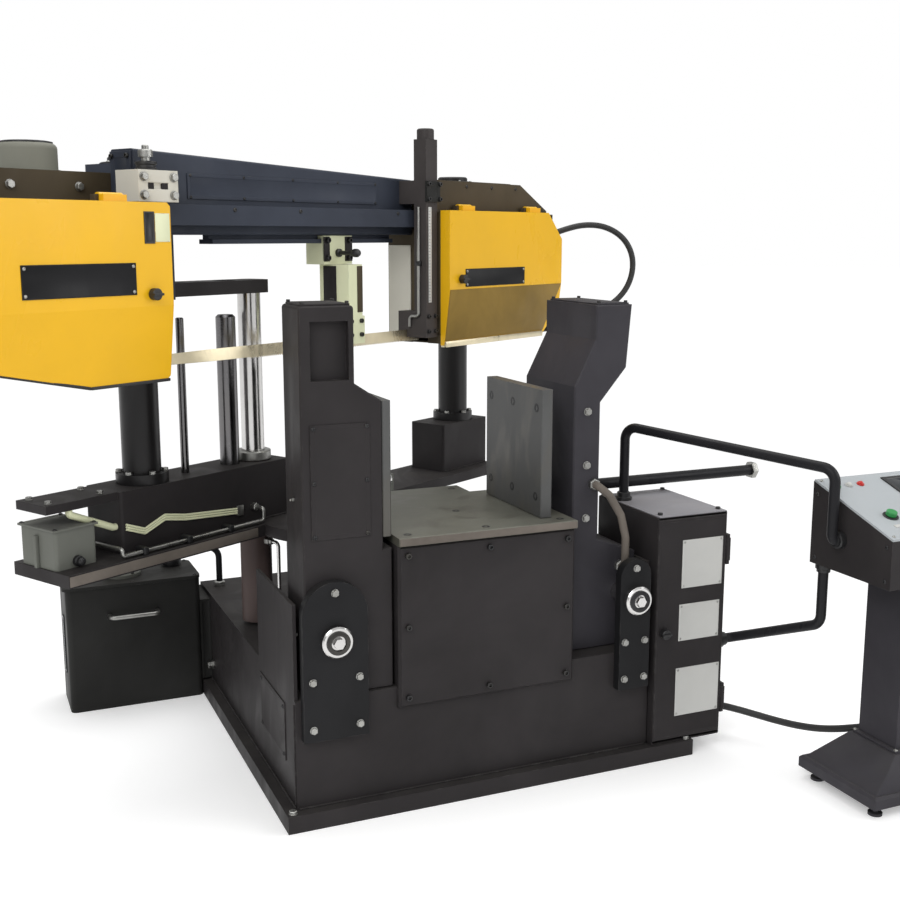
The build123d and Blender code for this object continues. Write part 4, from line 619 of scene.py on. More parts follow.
class Bench:
    """The shop's tools: each makes or shapes one mesh with Blender's operators, in millimetres."""

    @staticmethod
    def clear() -> None:
        """Goes to object mode and deselects everything."""
        if bpy.context.object and bpy.context.object.mode != "OBJECT":
            bpy.ops.object.mode_set(mode="OBJECT")
        bpy.ops.object.select_all(action="DESELECT")

    @classmethod
    def pick(cls, *pieces: Object) -> None:
        """Selects the pieces and makes the first one active."""
        cls.clear()
        for piece in pieces:
            piece.select_set(True)
        bpy.context.view_layer.objects.active = pieces[0]

    @classmethod
    def settle(cls, piece: Object, place: Matrix = SAW_FRAME) -> Object:
        """Moves a piece by a matrix and freezes it, so that the object itself stays at the origin."""
        piece.matrix_world = place @ piece.matrix_world
        cls.pick(piece)
        bpy.ops.object.transform_apply(location=True, rotation=True, scale=True)
        return piece

    @classmethod
    def named(cls, name: str, place: Matrix = SAW_FRAME) -> Object:
        """Names the primitive that was just added and settles it."""
        bpy.context.object.name = name
        return cls.settle(bpy.context.object, place)

    @staticmethod
    def standing(foot: Point, way: Point) -> Matrix:
        """Gives the matrix that stands a piece made up the z axis on a foot point, looking a given way."""
        turn = Vector(UP).rotation_difference(Vector(way))
        return Matrix.Translation(Vector(foot) * MM) @ turn.to_matrix().to_4x4()

    @classmethod
    @contextmanager
    def faces(cls, piece: Object, wanted: Callable[[Vector, Vector], bool] = anywhere) -> Iterator[None]:
        """Opens a piece in edit mode with the faces selected whose middle and normal are wanted."""
        cls.pick(piece)
        bpy.ops.object.mode_set(mode="EDIT")
        bpy.context.tool_settings.mesh_select_mode = (False, False, True)
        bpy.ops.mesh.select_all(action="DESELECT")
        bpy.ops.object.mode_set(mode="OBJECT")
        for face in piece.data.polygons:
            face.select = wanted(face.center, face.normal)
        bpy.ops.object.mode_set(mode="EDIT")
        yield
        bpy.ops.object.mode_set(mode="OBJECT")

    @classmethod
    def rounded(cls, piece: Object, width: float, segments: int = 2) -> Object:
        """Rounds the sharp edges of a piece."""
        cls.pick(piece)
        bevel = piece.modifiers.new("rounded", "BEVEL")
        bevel.width = width * MM
        bevel.segments = segments
        bevel.limit_method = "ANGLE"
        bpy.ops.object.modifier_apply(modifier=bevel.name)
        return piece

    @classmethod
    def block(cls, name: str, low: Point, high: Point, edge: float = 0) -> Object:
        """Adds a block between two opposite corners, its edges rounded or left sharp."""
        cls.clear()
        middle = (Vector(low) + Vector(high)) / 2 * MM
        size = (Vector(high) - Vector(low)) * MM
        bpy.ops.mesh.primitive_cube_add(size=1, location=middle, scale=size)
        piece = cls.named(name)
        return cls.rounded(piece, edge) if edge else piece

    @classmethod
    def tray(cls, name: str, low: Point, high: Point, way: Point, rim: float, depth: float) -> Object:
        """Adds a plate whose face that looks one way has a rim around a sunk or raised middle.

        Args:
            name: The piece's name.
            low: One corner of the plate.
            high: The opposite corner.
            way: The way that the worked face looks.
            rim: Width of the rim.
            depth: How deep the middle is sunk; raised if negative.

        Returns:
            The plate.
        """
        piece = cls.block(name, low, high)
        with cls.faces(piece, looking(way)):
            bpy.ops.mesh.inset(thickness=rim * MM, depth=0)
            bpy.ops.mesh.inset(thickness=abs(depth) * MM / 2, depth=-depth * MM)
        return cls.rounded(piece, TRAY_EDGE, 1)

    @classmethod
    def turned(
        cls,
        name: str,
        steps: Steps,
        foot: Point = (0, 0, 0),
        way: Point = UP,
        sides: int = TURNED_SIDES,
        hollow: bool = False,
    ) -> Object:
        """Turns a piece up from a disc, each step drawn out along the axis and scaled to its radius.

        Args:
            name: The piece's name.
            steps: Radius and height of each step, from the foot up.
            foot: Where the axis starts.
            way: The way that the axis looks.
            sides: Number of sides; six makes a nut.
            hollow: Whether a bore joins the first and the last face, for a ring around a shaft.

        Returns:
            The turned piece.
        """
        cls.clear()
        radius, height = steps[0]
        bpy.ops.mesh.primitive_circle_add(
            vertices=sides, radius=radius * MM, fill_type="NGON", location=(0, 0, height * MM)
        )
        piece = cls.named(name)
        with cls.faces(piece):
            for wide, high in steps[1:]:
                rise = {"value": (0, 0, (high - height) * MM)}
                bpy.ops.mesh.extrude_region_move(TRANSFORM_OT_translate=rise)
                share = wide / radius
                bpy.ops.transform.resize(value=(share, share, 1), center_override=(0, 0, high * MM))
                radius, height = wide, high
            bpy.ops.mesh.select_all(action="SELECT")
            bpy.ops.mesh.normals_make_consistent(inside=False)
        if hollow:
            with cls.faces(piece, on_axis):
                bpy.ops.mesh.bridge_edge_loops()
        return cls.settle(piece, cls.standing(foot, way))

    @classmethod
    def pipe(cls, name: str, points: Sequence[Point], radius: float, bend: float) -> Object:
        """Draws a rigid pipe along straight runs, spun round a bend at each corner.

        Args:
            name: The piece's name.
            points: The ends and the corners.
            radius: Outer radius of the pipe.
            bend: Radius of each bend, to the pipe's middle.

        Returns:
            The pipe.
        """
        route = [Vector(point) * MM for point in points]
        ways = [(after - before).normalized() for before, after in zip(route, route[1:])]
        cls.clear()
        bpy.ops.mesh.primitive_circle_add(vertices=PIPE_SIDES, radius=radius * MM, fill_type="NOTHING")
        piece = cls.named(name, cls.standing(points[0], tuple(ways[0])))
        bpy.ops.object.mode_set(mode="EDIT")
        bpy.context.tool_settings.mesh_select_mode = (True, False, False)
        bpy.ops.mesh.select_all(action="SELECT")
        at = route[0]
        for corner, way, onward in zip(route[1:], ways, ways[1:]):
            turn = way.angle(onward)
            reach = bend * MM * math.tan(turn / 2)
            start = corner - way * reach
            bpy.ops.mesh.extrude_region_move(TRANSFORM_OT_translate={"value": start - at})
            axis = way.cross(onward).normalized()
            middle = start + axis.cross(way) * bend * MM
            bpy.ops.mesh.spin(steps=BEND_STEPS, angle=turn, center=middle, axis=-axis)
            at = corner + onward * reach
        bpy.ops.mesh.extrude_region_move(TRANSFORM_OT_translate={"value": route[-1] - at})
        bpy.ops.mesh.select_all(action="SELECT")
        bpy.ops.mesh.fill_holes(sides=0)
        bpy.ops.mesh.normals_make_consistent(inside=False)
        bpy.ops.object.mode_set(mode="OBJECT")
        return piece

    @classmethod
    def row(cls, name: str, model: Object, step: Point, count: int) -> Object:
        """Repeats a model along a line and joins the repeats."""
        cls.pick(model)
        line = model.modifiers.new("row", "ARRAY")
        line.count = count
        line.use_relative_offset = False
        line.use_constant_offset = True
        line.constant_offset_displace = Vector(step) * MM
        bpy.ops.object.modifier_apply(modifier=line.name)
        model.name = name
        return model

    @classmethod
    def weld(cls, start: Point, end: Point, size: float) -> Object:
        """Lays a weld bead as a row of flattened drops from one point to another."""
        run = Vector(end) - Vector(start)
        count = max(2, round(run.length / (size * DROP_PITCH)))
        foot = Vector(start) * MM
        cls.clear()
        bpy.ops.mesh.primitive_uv_sphere_add(segments=7, ring_count=5, radius=size * MM, location=foot)
        drop = cls.named("drop")
        with cls.faces(drop):
            bpy.ops.transform.resize(value=DROP_SHAPE, center_override=foot)
        return cls.row("bead", drop, tuple(run / count), count)

    @classmethod
    def joined(cls, name: str, pieces: Sequence[Object]) -> Object:
        """Joins pieces into one."""
        cls.pick(*pieces)
        if len(pieces) > 1:
            bpy.ops.object.join()
        pieces[0].name = name
        return pieces[0]

    @classmethod
    def copies(cls, name: str, model: Object, places: Sequence[Matrix]) -> Object:
        """Copies a model that stands at the origin to each place, and joins the copies."""
        made = []
        for place in places:
            copy = model.copy()
            copy.data = model.data.copy()
            bpy.context.scene.collection.objects.link(copy)
            made.append(cls.settle(copy, place))
        bpy.data.objects.remove(model, do_unlink=True)
        return cls.joined(name, made)


def added(name: str, data: bpy.types.ID) -> Object:
    """Adds an object that holds a curve, a light or a camera to the scene."""
    made = bpy.data.objects.new(name, data)
    bpy.context.scene.collection.objects.link(made)
    return made


def ring(middle: Point, radius: float, count: int, start: float = 0.0) -> list[Point]:
    """Gives points on a level circle around a middle point."""
    angles = [start + 2 * math.pi * number / count for number in range(count)]
    return [(middle[0] + radius * math.cos(a), middle[1] + radius * math.sin(a), middle[2]) for a in angles]


def upright_ring(middle: Point, radius: float, count: int) -> list[Point]:
    """Gives points on a circle that faces the front, around a middle point."""
    level = ring((middle[0], middle[2], middle[1]), radius, count)
    return [(across, along, high) for across, high, along in level]


def grid(xs: Sequence[float], ys: Sequence[float], zs: Sequence[float]) -> list[Point]:
    """Gives every point with one of the places along each axis."""
    return [(x, y, z) for x in xs for y in ys for z in zs]


class Fastener(Enum):
    """Heads of screws, and a hexagon's washer: sides, then radii and heights as shares of the thread."""

    HEX = (6, ((0.92, 0.2), (0.92, 0.72), (0.8, 0.85)))
    SOCKET = (16, ((0.78, 0), (0.78, 0.82), (0.70, 0.92), (0.46, 0.92), (0.42, 0.45)))
    BUTTON = (16, ((0.9, 0), (0.88, 0.14), (0.72, 0.36), (0.46, 0.50), (0.40, 0.50), (0.36, 0.24)))
    SUNK = (16, ((0.95, -0.3), (0.95, 0), (0.93, 0.05), (0.48, 0.06), (0.44, -0.2)))
    WASHER = (20, ((1, 0), (1, 0.16), (0.9, 0.2)))

    def model(self, size: float) -> Object:
        """Makes one head for a thread of a size, standing at the origin; a hexagon has its washer."""
        sides, outline = self.value
        head = Bench.turned("head", [(r * size, h * size) for r, h in outline], sides=sides)
        if self is Fastener.HEX:
            return Bench.joined("hex_head", [Fastener.WASHER.model(size), head])
        return head


@dataclass
class SubAssembly:
    """Fittings that ride one body, given at rest in a frame that suits them."""

    body: str
    place: Matrix = field(default_factory=SAW_FRAME.copy)

    def add(self, piece: Object, coat: Coat) -> None:
        """Puts a piece where it belongs in the saw, smooths and finishes it and ties it to the body."""
        Bench.settle(piece, self.place)
        bpy.ops.object.shade_smooth_by_angle(angle=SMOOTH_ANGLE)
        piece.data.materials.clear()
        piece.data.materials.append(coat.material)
        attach(piece, self.body)

    def block(self, name: str, low: Point, high: Point, edge: float, coat: Coat) -> None:
        """Fits a block."""
        self.add(Bench.block(name, low, high, edge), coat)

    def tray(
        self, name: str, low: Point, high: Point, way: Point, rim: float, depth: float, coat: Coat
    ) -> None:
        """Fits a plate with a rim."""
        self.add(Bench.tray(name, low, high, way, rim, depth), coat)

    def turned(
        self,
        name: str,
        steps: Steps,
        foot: Point,
        way: Point,
        coat: Coat,
        sides: int = TURNED_SIDES,
        hollow: bool = False,
    ) -> None:
        """Fits a turned piece."""
        self.add(Bench.turned(name, steps, foot, way, sides, hollow), coat)

    def pipe(self, name: str, points: Sequence[Point], radius: float, bend: float, coat: Coat) -> None:
        """Fits a rigid pipe."""
        self.add(Bench.pipe(name, points, radius, bend), coat)

    def several(self, name: str, model: Object, feet: Sequence[Point], way: Point, coat: Coat) -> None:
        """Fits copies of a model, one on each foot, all looking one way."""
        self.add(Bench.copies(name, model, [Bench.standing(foot, way) for foot in feet]), coat)

    def screws(
        self,
        name: str,
        kind: Fastener,
        size: float,
        feet: Sequence[Point],
        way: Point,
        coat: Coat = Coat.OXIDE,
    ) -> None:
        """Sets a screw at each foot, all looking one way."""
        self.several(name, kind.model(size), feet, way, coat)

    def welds(self, name: str, runs: Sequence[tuple[Point, Point, float]]) -> None:
        """Lays weld beads, each from a start to an end with its size."""
        self.add(Bench.joined(name, [Bench.weld(*run) for run in runs]), Coat.CHARCOAL)

    def louvres(self, name: str, low: Point, high: Point, inwards: Point, count: int) -> None:
        """Fits a column of slats whose upper edges lean into the wall."""
        slat = Bench.block("slat", low, high)
        with Bench.faces(slat, looking(UP)):
            bpy.ops.mesh.inset(thickness=SLAT_RIM * MM, depth=0)
            bpy.ops.transform.translate(value=(Vector(inwards) * SLAT_LEAN + Vector(UP) * SLAT_RISE) * MM)
        self.add(Bench.row(name, slat, (0, 0, SLAT_PITCH), count), Coat.CHARCOAL)

    def blank_plate(self, names: Sequence[str], box: Box, front: float, sizes: Point, coat: Coat) -> None:
        """Fits a blank plate on a front face, held by a rivet in each corner.

        Args:
            names: Names of the plate and of its rivets.
            box: Left, low, right and high edge of the plate.
            front: Where the face lies.
            sizes: Width of the rim, distance of the rivets from the edges, and the rivets' size.
            coat: Finish of the plate.
        """
        left, low, right, high = box
        rim, inset, rivet = sizes
        face = front - PLATE_THICKNESS
        self.tray(names[0], (left, face, low), (right, front, high), FRONT, rim, PLATE_DEPTH, coat)
        corners = grid((left + inset, right - inset), (face,), (low + inset, high - inset))
        self.screws(names[1], Fastener.BUTTON, rivet, corners, FRONT, Coat.ZINC)

    def build(self) -> None:
        """Builds every fitting of the sub-assembly."""
        raise NotImplementedError


@dataclass
class BowSide(SubAssembly):
    """A sub-assembly in the bow's frame, where the two pillars stand."""

    place: Matrix = field(default_factory=BOW_FRAME.copy)
    pillars: Sequence[float] = (-640, 860)
    pillar_v: float = 221


@dataclass
class BaseFittings(SubAssembly):
    """The welded base: anchors, weld beads, cover plates and the screws in its panels and the bed."""

    body: str = "base"
    bed: float = 790
    bearing_front: float = -654

    def build(self) -> None:
        """Builds every fitting of the base."""
        self.screws("anchor_nuts", Fastener.HEX, 12, grid((-632, 632), (-642, 642), (50,)), UP, Coat.ZINC)
        self.welds(
            "base_welds",
            (
                ((-606, -627, 52), (492, -627, 52), 5),
                ((-606, 627, 52), (492, 627, 52), 5),
                ((-617, -612, 52), (-617, 612, 52), 5),
                ((-615, -615, 62), (-615, -615, 352), 4),
                ((-318, -626, 366), (-318, -626, 296), 4),
            ),
        )
        panel = grid((-292, -45, 202), (-640,), (330, 738)) + grid((-292, 202), (-640,), (534,))
        self.screws("front_panel_screws", Fastener.SOCKET, 11, panel, FRONT)
        face = (self.bearing_front,)
        left = grid((-572, -440), face, (285, 420)) + grid((-506,), face, (662,))
        right = grid((396, 464), face, (285, 400)) + grid((430,), face, (626,))
        self.screws("bearing_plate_bolts", Fastener.HEX, 11, left + right, FRONT, Coat.ZINC)
        front_screws = grid((-282, -45, 192), (-612, -400), (self.bed,))
        self.screws("bed_screws", Fastener.SUNK, 12, front_screws, UP)
        rear_screws = grid((-282, 192), (-325,), (self.bed,)) + grid((70, -190), (-100,), (self.bed,))
        self.screws("bed_rear_screws", Fastener.SUNK, 12, rear_screws, UP)
        self.block("bed_front_edge", (-318, -652, 768), (228, -640, 788), 1, Coat.BARE_EDGE)
        self.covers()

    def covers(self) -> None:
        """Builds the cover plates on the left and rear walls, the rear louvres and the drain plug."""
        self.tray("rear_cover", (-330, 623, 110), (230, 627, 320), REAR, 14, 0.8, Coat.CHARCOAL)
        heads = grid((-315, -50, 215), (627,), (125, 305))
        self.screws("rear_cover_screws", Fastener.BUTTON, 7, heads, REAR)
        self.louvres("rear_louvres", (-230, 626, 160), (130, 634, 170), FRONT, 5)
        self.tray("side_cover", (-617, -520, 150), (-614, -250, 320), LEFT, 14, 0.8, Coat.CHARCOAL)
        heads = grid((-617,), (-505, -265), (165, 305))
        self.screws("side_cover_screws", Fastener.BUTTON, 7, heads, LEFT)
        plug = ((16, 0), (16, 6), (12, 7), (12, 20), (10, 22))
        self.turned("drain_plug", plug, (-614, 430, 110), LEFT, Coat.ZINC, 6)


@dataclass
class CoolantUnit(SubAssembly):
    """The coolant tank's pump, filler, handle, gauge and pipe, and its link to the base."""

    body: str = "base"
    top: float = 440

    def build(self) -> None:
        """Builds every fitting of the coolant tank."""
        pump = ((66, 0), (66, 12), (52, 14), (52, 120), (56, 122), (56, 150), (44, 162), (20, 166))
        self.turned("coolant_pump", pump, (-900, 545, self.top), UP, Coat.STONE_GREY)
        self.screws("pump_screws", Fastener.SOCKET, 7, ring((-900, 545, self.top + 12), 59, 6), UP)
        self.block("pump_terminal_box", (-966, 520, 500), (-946, 572, 552), 4, Coat.BLACK_PLASTIC)
        cap = ((30, 0), (30, 8), (36, 9), (36, 24), (32, 28))
        self.turned("tank_filler", cap, (-720, 600, self.top), UP, Coat.BLACK_PLASTIC, 20)
        grip = [(-960, 442, 330), (-960, 402, 330), (-800, 402, 330), (-800, 442, 330)]
        self.pipe("tank_handle", grip, 7, 18, Coat.ZINC)
        line = [(-850, 545, 505), (-560, 545, 505), (-560, 545, 362)]
        self.pipe("coolant_pipe", line, 11, 40, Coat.BLACK_STEEL)
        self.turned("pipe_collar", ((20, 0), (20, 16), (16, 19)), (-560, 545, 360), UP, Coat.ZINC, 6)
        self.tray("tank_link", (-652, 450, 56), (-612, 636, 345), FRONT, 8, 2, Coat.DEEP_CHARCOAL)
        self.tray("tank_gauge", (-1104, 520, 120), (-1100, 550, 320), LEFT, 7, 2, Coat.GLASS)
        lid = grid((-1090, -880, -668), (442, 638), (self.top,))
        self.screws("tank_lid_screws", Fastener.BUTTON, 8, lid, UP)


@dataclass
class HydraulicUnit(SubAssembly):
    """The hydraulic unit's motor trim, valves, gauge and pipes."""

    body: str = "base"
    top: float = 326
    right: float = 650

    def build(self) -> None:
        """Builds every fitting of the hydraulic unit."""
        self.block("unit_terminal_box", (540, 60, 444), (614, 150, 492), 5, Coat.STONE_GREY)
        fan = ((58, 0), (58, 4), (48, 5), (48, 2), (30, 2), (30, 5), (12, 6))
        self.turned("unit_fan_cover", fan, (577, 360, 388), REAR, Coat.BLACK_PLASTIC)
        self.block("valve_block", (525, -278, self.top), (629, -236, 396), 3, Coat.ZINC)
        coil = Bench.turned("coil", ((15, 0), (15, 34), (10, 36), (10, 44), (8, 46)))
        self.several("valve_coils", coil, grid((552, 602), (-257,), (396,)), UP, Coat.BLACK_PLASTIC)
        dial = ((24, 0), (24, 18), (27, 19), (27, 26), (24, 26), (24, 23))
        self.turned("pressure_gauge", dial, (self.right, -150, 250), RIGHT, Coat.BLACK_PLASTIC)
        face = ((23, 0), (23, 1), (2, 1.2))
        self.turned("gauge_face", face, (673.2, -150, 250), RIGHT, Coat.PLATE)
        self.tray("unit_sight_glass", (self.right, 320, 110), (655, 350, 260), RIGHT, 7, 2.5, Coat.GLASS)
        breather = ((26, 0), (26, 10), (32, 11), (32, 32), (26, 38))
        self.turned("unit_breather", breather, (610, 395, self.top), UP, Coat.BLACK_STEEL, 20)
        for number, across in enumerate((538, 616)):
            high = 470 + 30 * number
            line = [(across, -257, 394), (across, -257, high), (480, -257, high)]
            self.pipe(f"pressure_pipe_{number}", line, 6, 18, Coat.ZINC)
        self.screws("unit_bolts", Fastener.HEX, 10, grid((520,), (-200, 20, 240), (self.top,)), UP)


@dataclass
class CabinetFittings(SubAssembly):
    """What is fixed to the switch cabinet: pale lid, louvres and cable glands."""

    body: str = "base"
    right: float = 752
    top: float = 770

    def build(self) -> None:
        """Builds every fitting of the cabinet."""
        self.louvres("cabinet_louvres", (self.right, -590, 560), (self.right + 7, -430, 570), LEFT, 7)
        gland = ((26, 0), (26, 14), (21, 16), (21, 28), (18, 30))
        self.turned("upper_gland", gland, (535, -400, self.top), UP, Coat.BLACK_PLASTIC, 12)
        self.turned("lower_gland", gland, (self.right, -620, 350), RIGHT, Coat.BLACK_PLASTIC, 12)
        self.tray(
            "cabinet_lid", (508, -652, self.top), (748, -304, self.top + 3), UP, 8, -1, Coat.LID_GREY
        )
        corners = grid((524, 732), (-628, -320), (self.top + 4,))
        self.screws("cabinet_top_screws", Fastener.HEX, 8, corners, UP)


@dataclass
class CabinetDoor(SubAssembly):
    """The blank plates and the raised fold on the cabinet's door."""

    body: str = "cabinet_door"
    front: float = -654.3
    plates: Sequence[Box] = ((590, 545, 735, 695), (585, 378, 730, 494), (580, 137, 738, 291))

    def build(self) -> None:
        """Builds every fitting of the door."""
        for number, box in enumerate(self.plates):
            names = (f"door_plate_{number}", f"door_plate_rivets_{number}")
            self.blank_plate(names, box, self.front, (5, 7, 4), Coat.PLATE)
        low, high = (506, self.front - 1.2, 72), (746, self.front + 5, 755)
        self.tray("door_fold", low, high, FRONT, 8, 0.8, Coat.CHARCOAL)


@dataclass
class Console(SubAssembly):
    """The operator's console: bezels, blank window and strips, screws and couplings."""

    body: str = "base"
    place: Matrix = field(default_factory=PANEL_FRAME.copy)
    level: float = 6
    row: float = 110

    def build(self) -> None:
        """Builds every fitting of the console."""
        corners = grid((-206, 206), (14, 322), (self.level,))
        self.screws("console_panel_screws", Fastener.BUTTON, 6, corners, UP, Coat.ZINC)
        self.bezels()
        self.window()
        self.stand()

    def bezels(self) -> None:
        """Builds the rings round the controls, the blank strips below them and the pilot lamps."""
        small = Bench.turned("bezel", ((22, 0), (22, 2.4), (20, 3.2), (17, 3.2), (17, 0.2)))
        buttons = grid((-135, -45), (self.row,), (self.level,))
        self.several("button_bezels", small, buttons, UP, Coat.BLACK_PLASTIC)
        wide = Bench.turned("scale", ((32, 0), (32, 0.8), (31, 1.2), (24, 1.2), (24, 0.15)))
        self.several("knob_scales", wide, grid((45, 135), (self.row,), (self.level,)), UP, Coat.BLACK)
        stop = ((34, 0), (34, 1.6), (33, 2.2), (22, 2.2), (22, 0.2))
        self.turned("stop_collar", stop, (135, 235, self.level), UP, Coat.YELLOW)
        strip = Bench.tray("strip", (-28, -7, 0), (28, 7, 1.2), UP, 1.5, 0.3)
        strips = grid((-135, -45, 45, 135), (60,), (self.level,))
        self.several("blank_strips", strip, strips, UP, Coat.PLATE)
        lamp = ((11, 0), (11, 3), (8, 3.4), (8, 6), (5, 9), (2, 10))
        for number, coat in enumerate((Coat.GREEN, Coat.PLATE, Coat.RED)):
            foot = (-180 + 42 * number, 285, self.level)
            self.turned(f"pilot_lamp_{number}", lamp, foot, UP, coat, 20)

    def window(self) -> None:
        """Builds the dark window and its frame."""
        low, high = (-5, 186, self.level), (87, 306, self.level + 4)
        self.tray("window_frame", low, high, UP, 10, 2.5, Coat.BLACK_PLASTIC)
        low, high = (7, 198, self.level), (75, 294, self.level + 2.4)
        self.tray("window_glass", low, high, UP, 4, -0.4, Coat.GLASS)

    def stand(self) -> None:
        """Builds the sloping cover on the foot, its collar and bolts, and the conduits' couplings."""
        floor = SubAssembly("base")
        cover = Bench.block("foot_cover", (866, -1219, 66), (1284, -921, 148))
        taper, top = (0.45, 0.63, 1), (1.075, -1.07, 0.148)
        with Bench.faces(cover, looking(UP)):
            bpy.ops.transform.resize(value=taper, center_override=top)
        # Foot cover and collar share the stand's graphite, the lighter grey that is painted light on the
        # shaded column.
        floor.add(Bench.rounded(cover, 3), Coat.GRAPHITE)
        floor.block("column_collar", (988, -1157, 145), (1162, -983, 156), 2, Coat.GRAPHITE)
        corners = grid((993, 1157), (-1152, -988), (156,))
        floor.screws("collar_screws", Fastener.BUTTON, 7, corners, UP, Coat.ZINC)
        nut = ((24, 0), (24, 16), (20, 18), (20, 26))
        floor.turned("head_coupling", nut, (855, -1035, 760), LEFT, Coat.BLACK_PLASTIC, 12)
        floor.turned("floor_coupling", nut, (885, -936, 665), DOWN, Coat.BLACK_PLASTIC, 12)
        side = grid((855,), (-1210, -930), (685,)) + [(855, -1210, 780), (855, -930, 870)]
        floor.screws("head_side_screws", Fastener.BUTTON, 7, side, LEFT)
        locknut = Bench.turned("locknut", ((17, 0), (17, 10), (14, 12)), sides=6)
        feet = grid((895, 1255), (-1190, -950), (18,))
        floor.several("foot_locknuts", locknut, feet, UP, Coat.ZINC)


@dataclass
class Turntable(BowSide):
    """The swivelling arm: bolts, weld beads, pipes, scale and the trim of its drive and the lift."""

    body: str = "turntable"

    def build(self) -> None:
        """Builds every fitting of the turntable."""
        for number, along in enumerate(self.pillars):
            feet = ring((along, self.pillar_v, 930), 65, 6, 0.3)
            self.screws(f"pillar_bolts_{number}", Fastener.HEX, 10, feet, UP, Coat.ZINC)
        ends = ((-770, -130), (710, 970))
        runs = [((start, v, 724), (end, v, 724), 5) for start, end in ends for v in (142, 302)]
        self.welds("arm_welds", runs)
        self.pipes()
        self.scale()
        self.drive()
        self.lift()

    def pipes(self) -> None:
        """Builds the pale hose from the shelf, the bundle and the clipped pipe on the arm, and its edge."""
        bends = ((-767, 800), (-703, 776), (-630, 803), (-553, 788), (-345, 768))
        lines = [[(along, 140.8, high + lift) for along, high in bends] for lift in (-7, 0, 7)]
        bundle = [Bench.pipe("line", line, 3.2, 12) for line in lines]
        self.add(Bench.joined("swivel_bundle", bundle), Coat.LIGHT_GREY)
        hose = [(-930, 170, 880), (-930, 170, 862), (-790, 170, 800), (-766, 170, 800)]
        self.pipe("swivel_hose", hose, 10, 12, Coat.LIGHT_GREY)
        self.block("bundle_block", (-352, 137.4, 752), (-326, 146, 784), 1.5, Coat.ZINC)
        lower = [
            (-867, 220, 752),
            (-815, 220, 752),
            (-815, 100, 752),
            (-815, 100, 732),
            (-280, 100, 732),
            (-280, 100, 770),
            (-280, 146, 770),
        ]
        self.pipe("swivel_pipe", lower, 6, 9, Coat.ZINC)
        self.block("arm_edge", (-998, 83.5, 690), (-320, 95, 718), 1, Coat.BARE_EDGE)
        clip = Bench.block("clip", (-9, -20, 0), (9, 20, 22), 3)
        self.several("pipe_clips", clip, grid((-740, -580, -420), (110,), (722,)), UP, Coat.BLACK_PLASTIC)
        nut = Bench.turned("nut", ((13, 0), (13, 14), (11, 16)), sides=6)
        ends = [Bench.standing((-280, 144, 770), FRONT), Bench.standing((-865, 220, 752), RIGHT)]
        self.add(Bench.copies("pipe_nuts", nut, ends), Coat.ZINC)

    def scale(self) -> None:
        """Builds the ticks of the mitre scale on the disc's rim."""
        tick = Bench.block("tick", (-9, -0.8, 0), (9, 0.8, 0.6), 0.2)
        first, step, count = -150, 4, 31
        angles = [math.radians(first + step * number) for number in range(count)]
        turns = [Matrix.Rotation(angle, 4, "Z") for angle in angles]
        rim = Matrix.Translation((0.286, 0, 0.722))
        self.add(Bench.copies("mitre_ticks", tick, [turn @ rim for turn in turns]), Coat.PLATE)

    def drive(self) -> None:
        """Builds the lid, the gland and the rib of the swivel drive's box, and the shelf's screws."""
        self.tray("swivel_lid", (-1000, 140, 828), (-860, 304, 834), UP, 10, 2, Coat.STONE_GREY)
        self.screws("swivel_lid_screws", Fastener.BUTTON, 7, grid((-992, -868), (148, 296), (834,)), UP)
        gland = ((15, 0), (15, 10), (12, 12), (12, 22), (9, 24))
        self.turned("swivel_gland", gland, (-930, 144, 740), FRONT, Coat.BLACK_PLASTIC, 12)
        self.block("rib", (-1006, 216, 722), (-995, 228, 812), 2, Coat.STONE_GREY)
        self.screws("shelf_screws", Fastener.HEX, 10, grid((-985, -820), (180, 265), (900,)), UP, Coat.ZINC)

    def lift(self) -> None:
        """Builds the gland, the ports and the pipe of the lift barrel."""
        gland = ((51, 0), (57, 0), (57, 24), (53, 28), (37.5, 28), (37.5, 20))
        self.turned("lift_gland", gland, (-200, self.pillar_v, 903), UP, Coat.ZINC, 12, True)
        port = Bench.turned("port", ((14, 0), (14, 16), (10, 18), (10, 26)), sides=6)
        self.several("lift_ports", port, grid((-200,), (172,), (640, 420)), FRONT, Coat.ZINC)
        line = [(-200, 150, 640), (-200, 120, 640), (-200, 120, 420), (-200, 150, 420)]
        self.pipe("lift_pipe", line, 6, 14, Coat.CHROME)


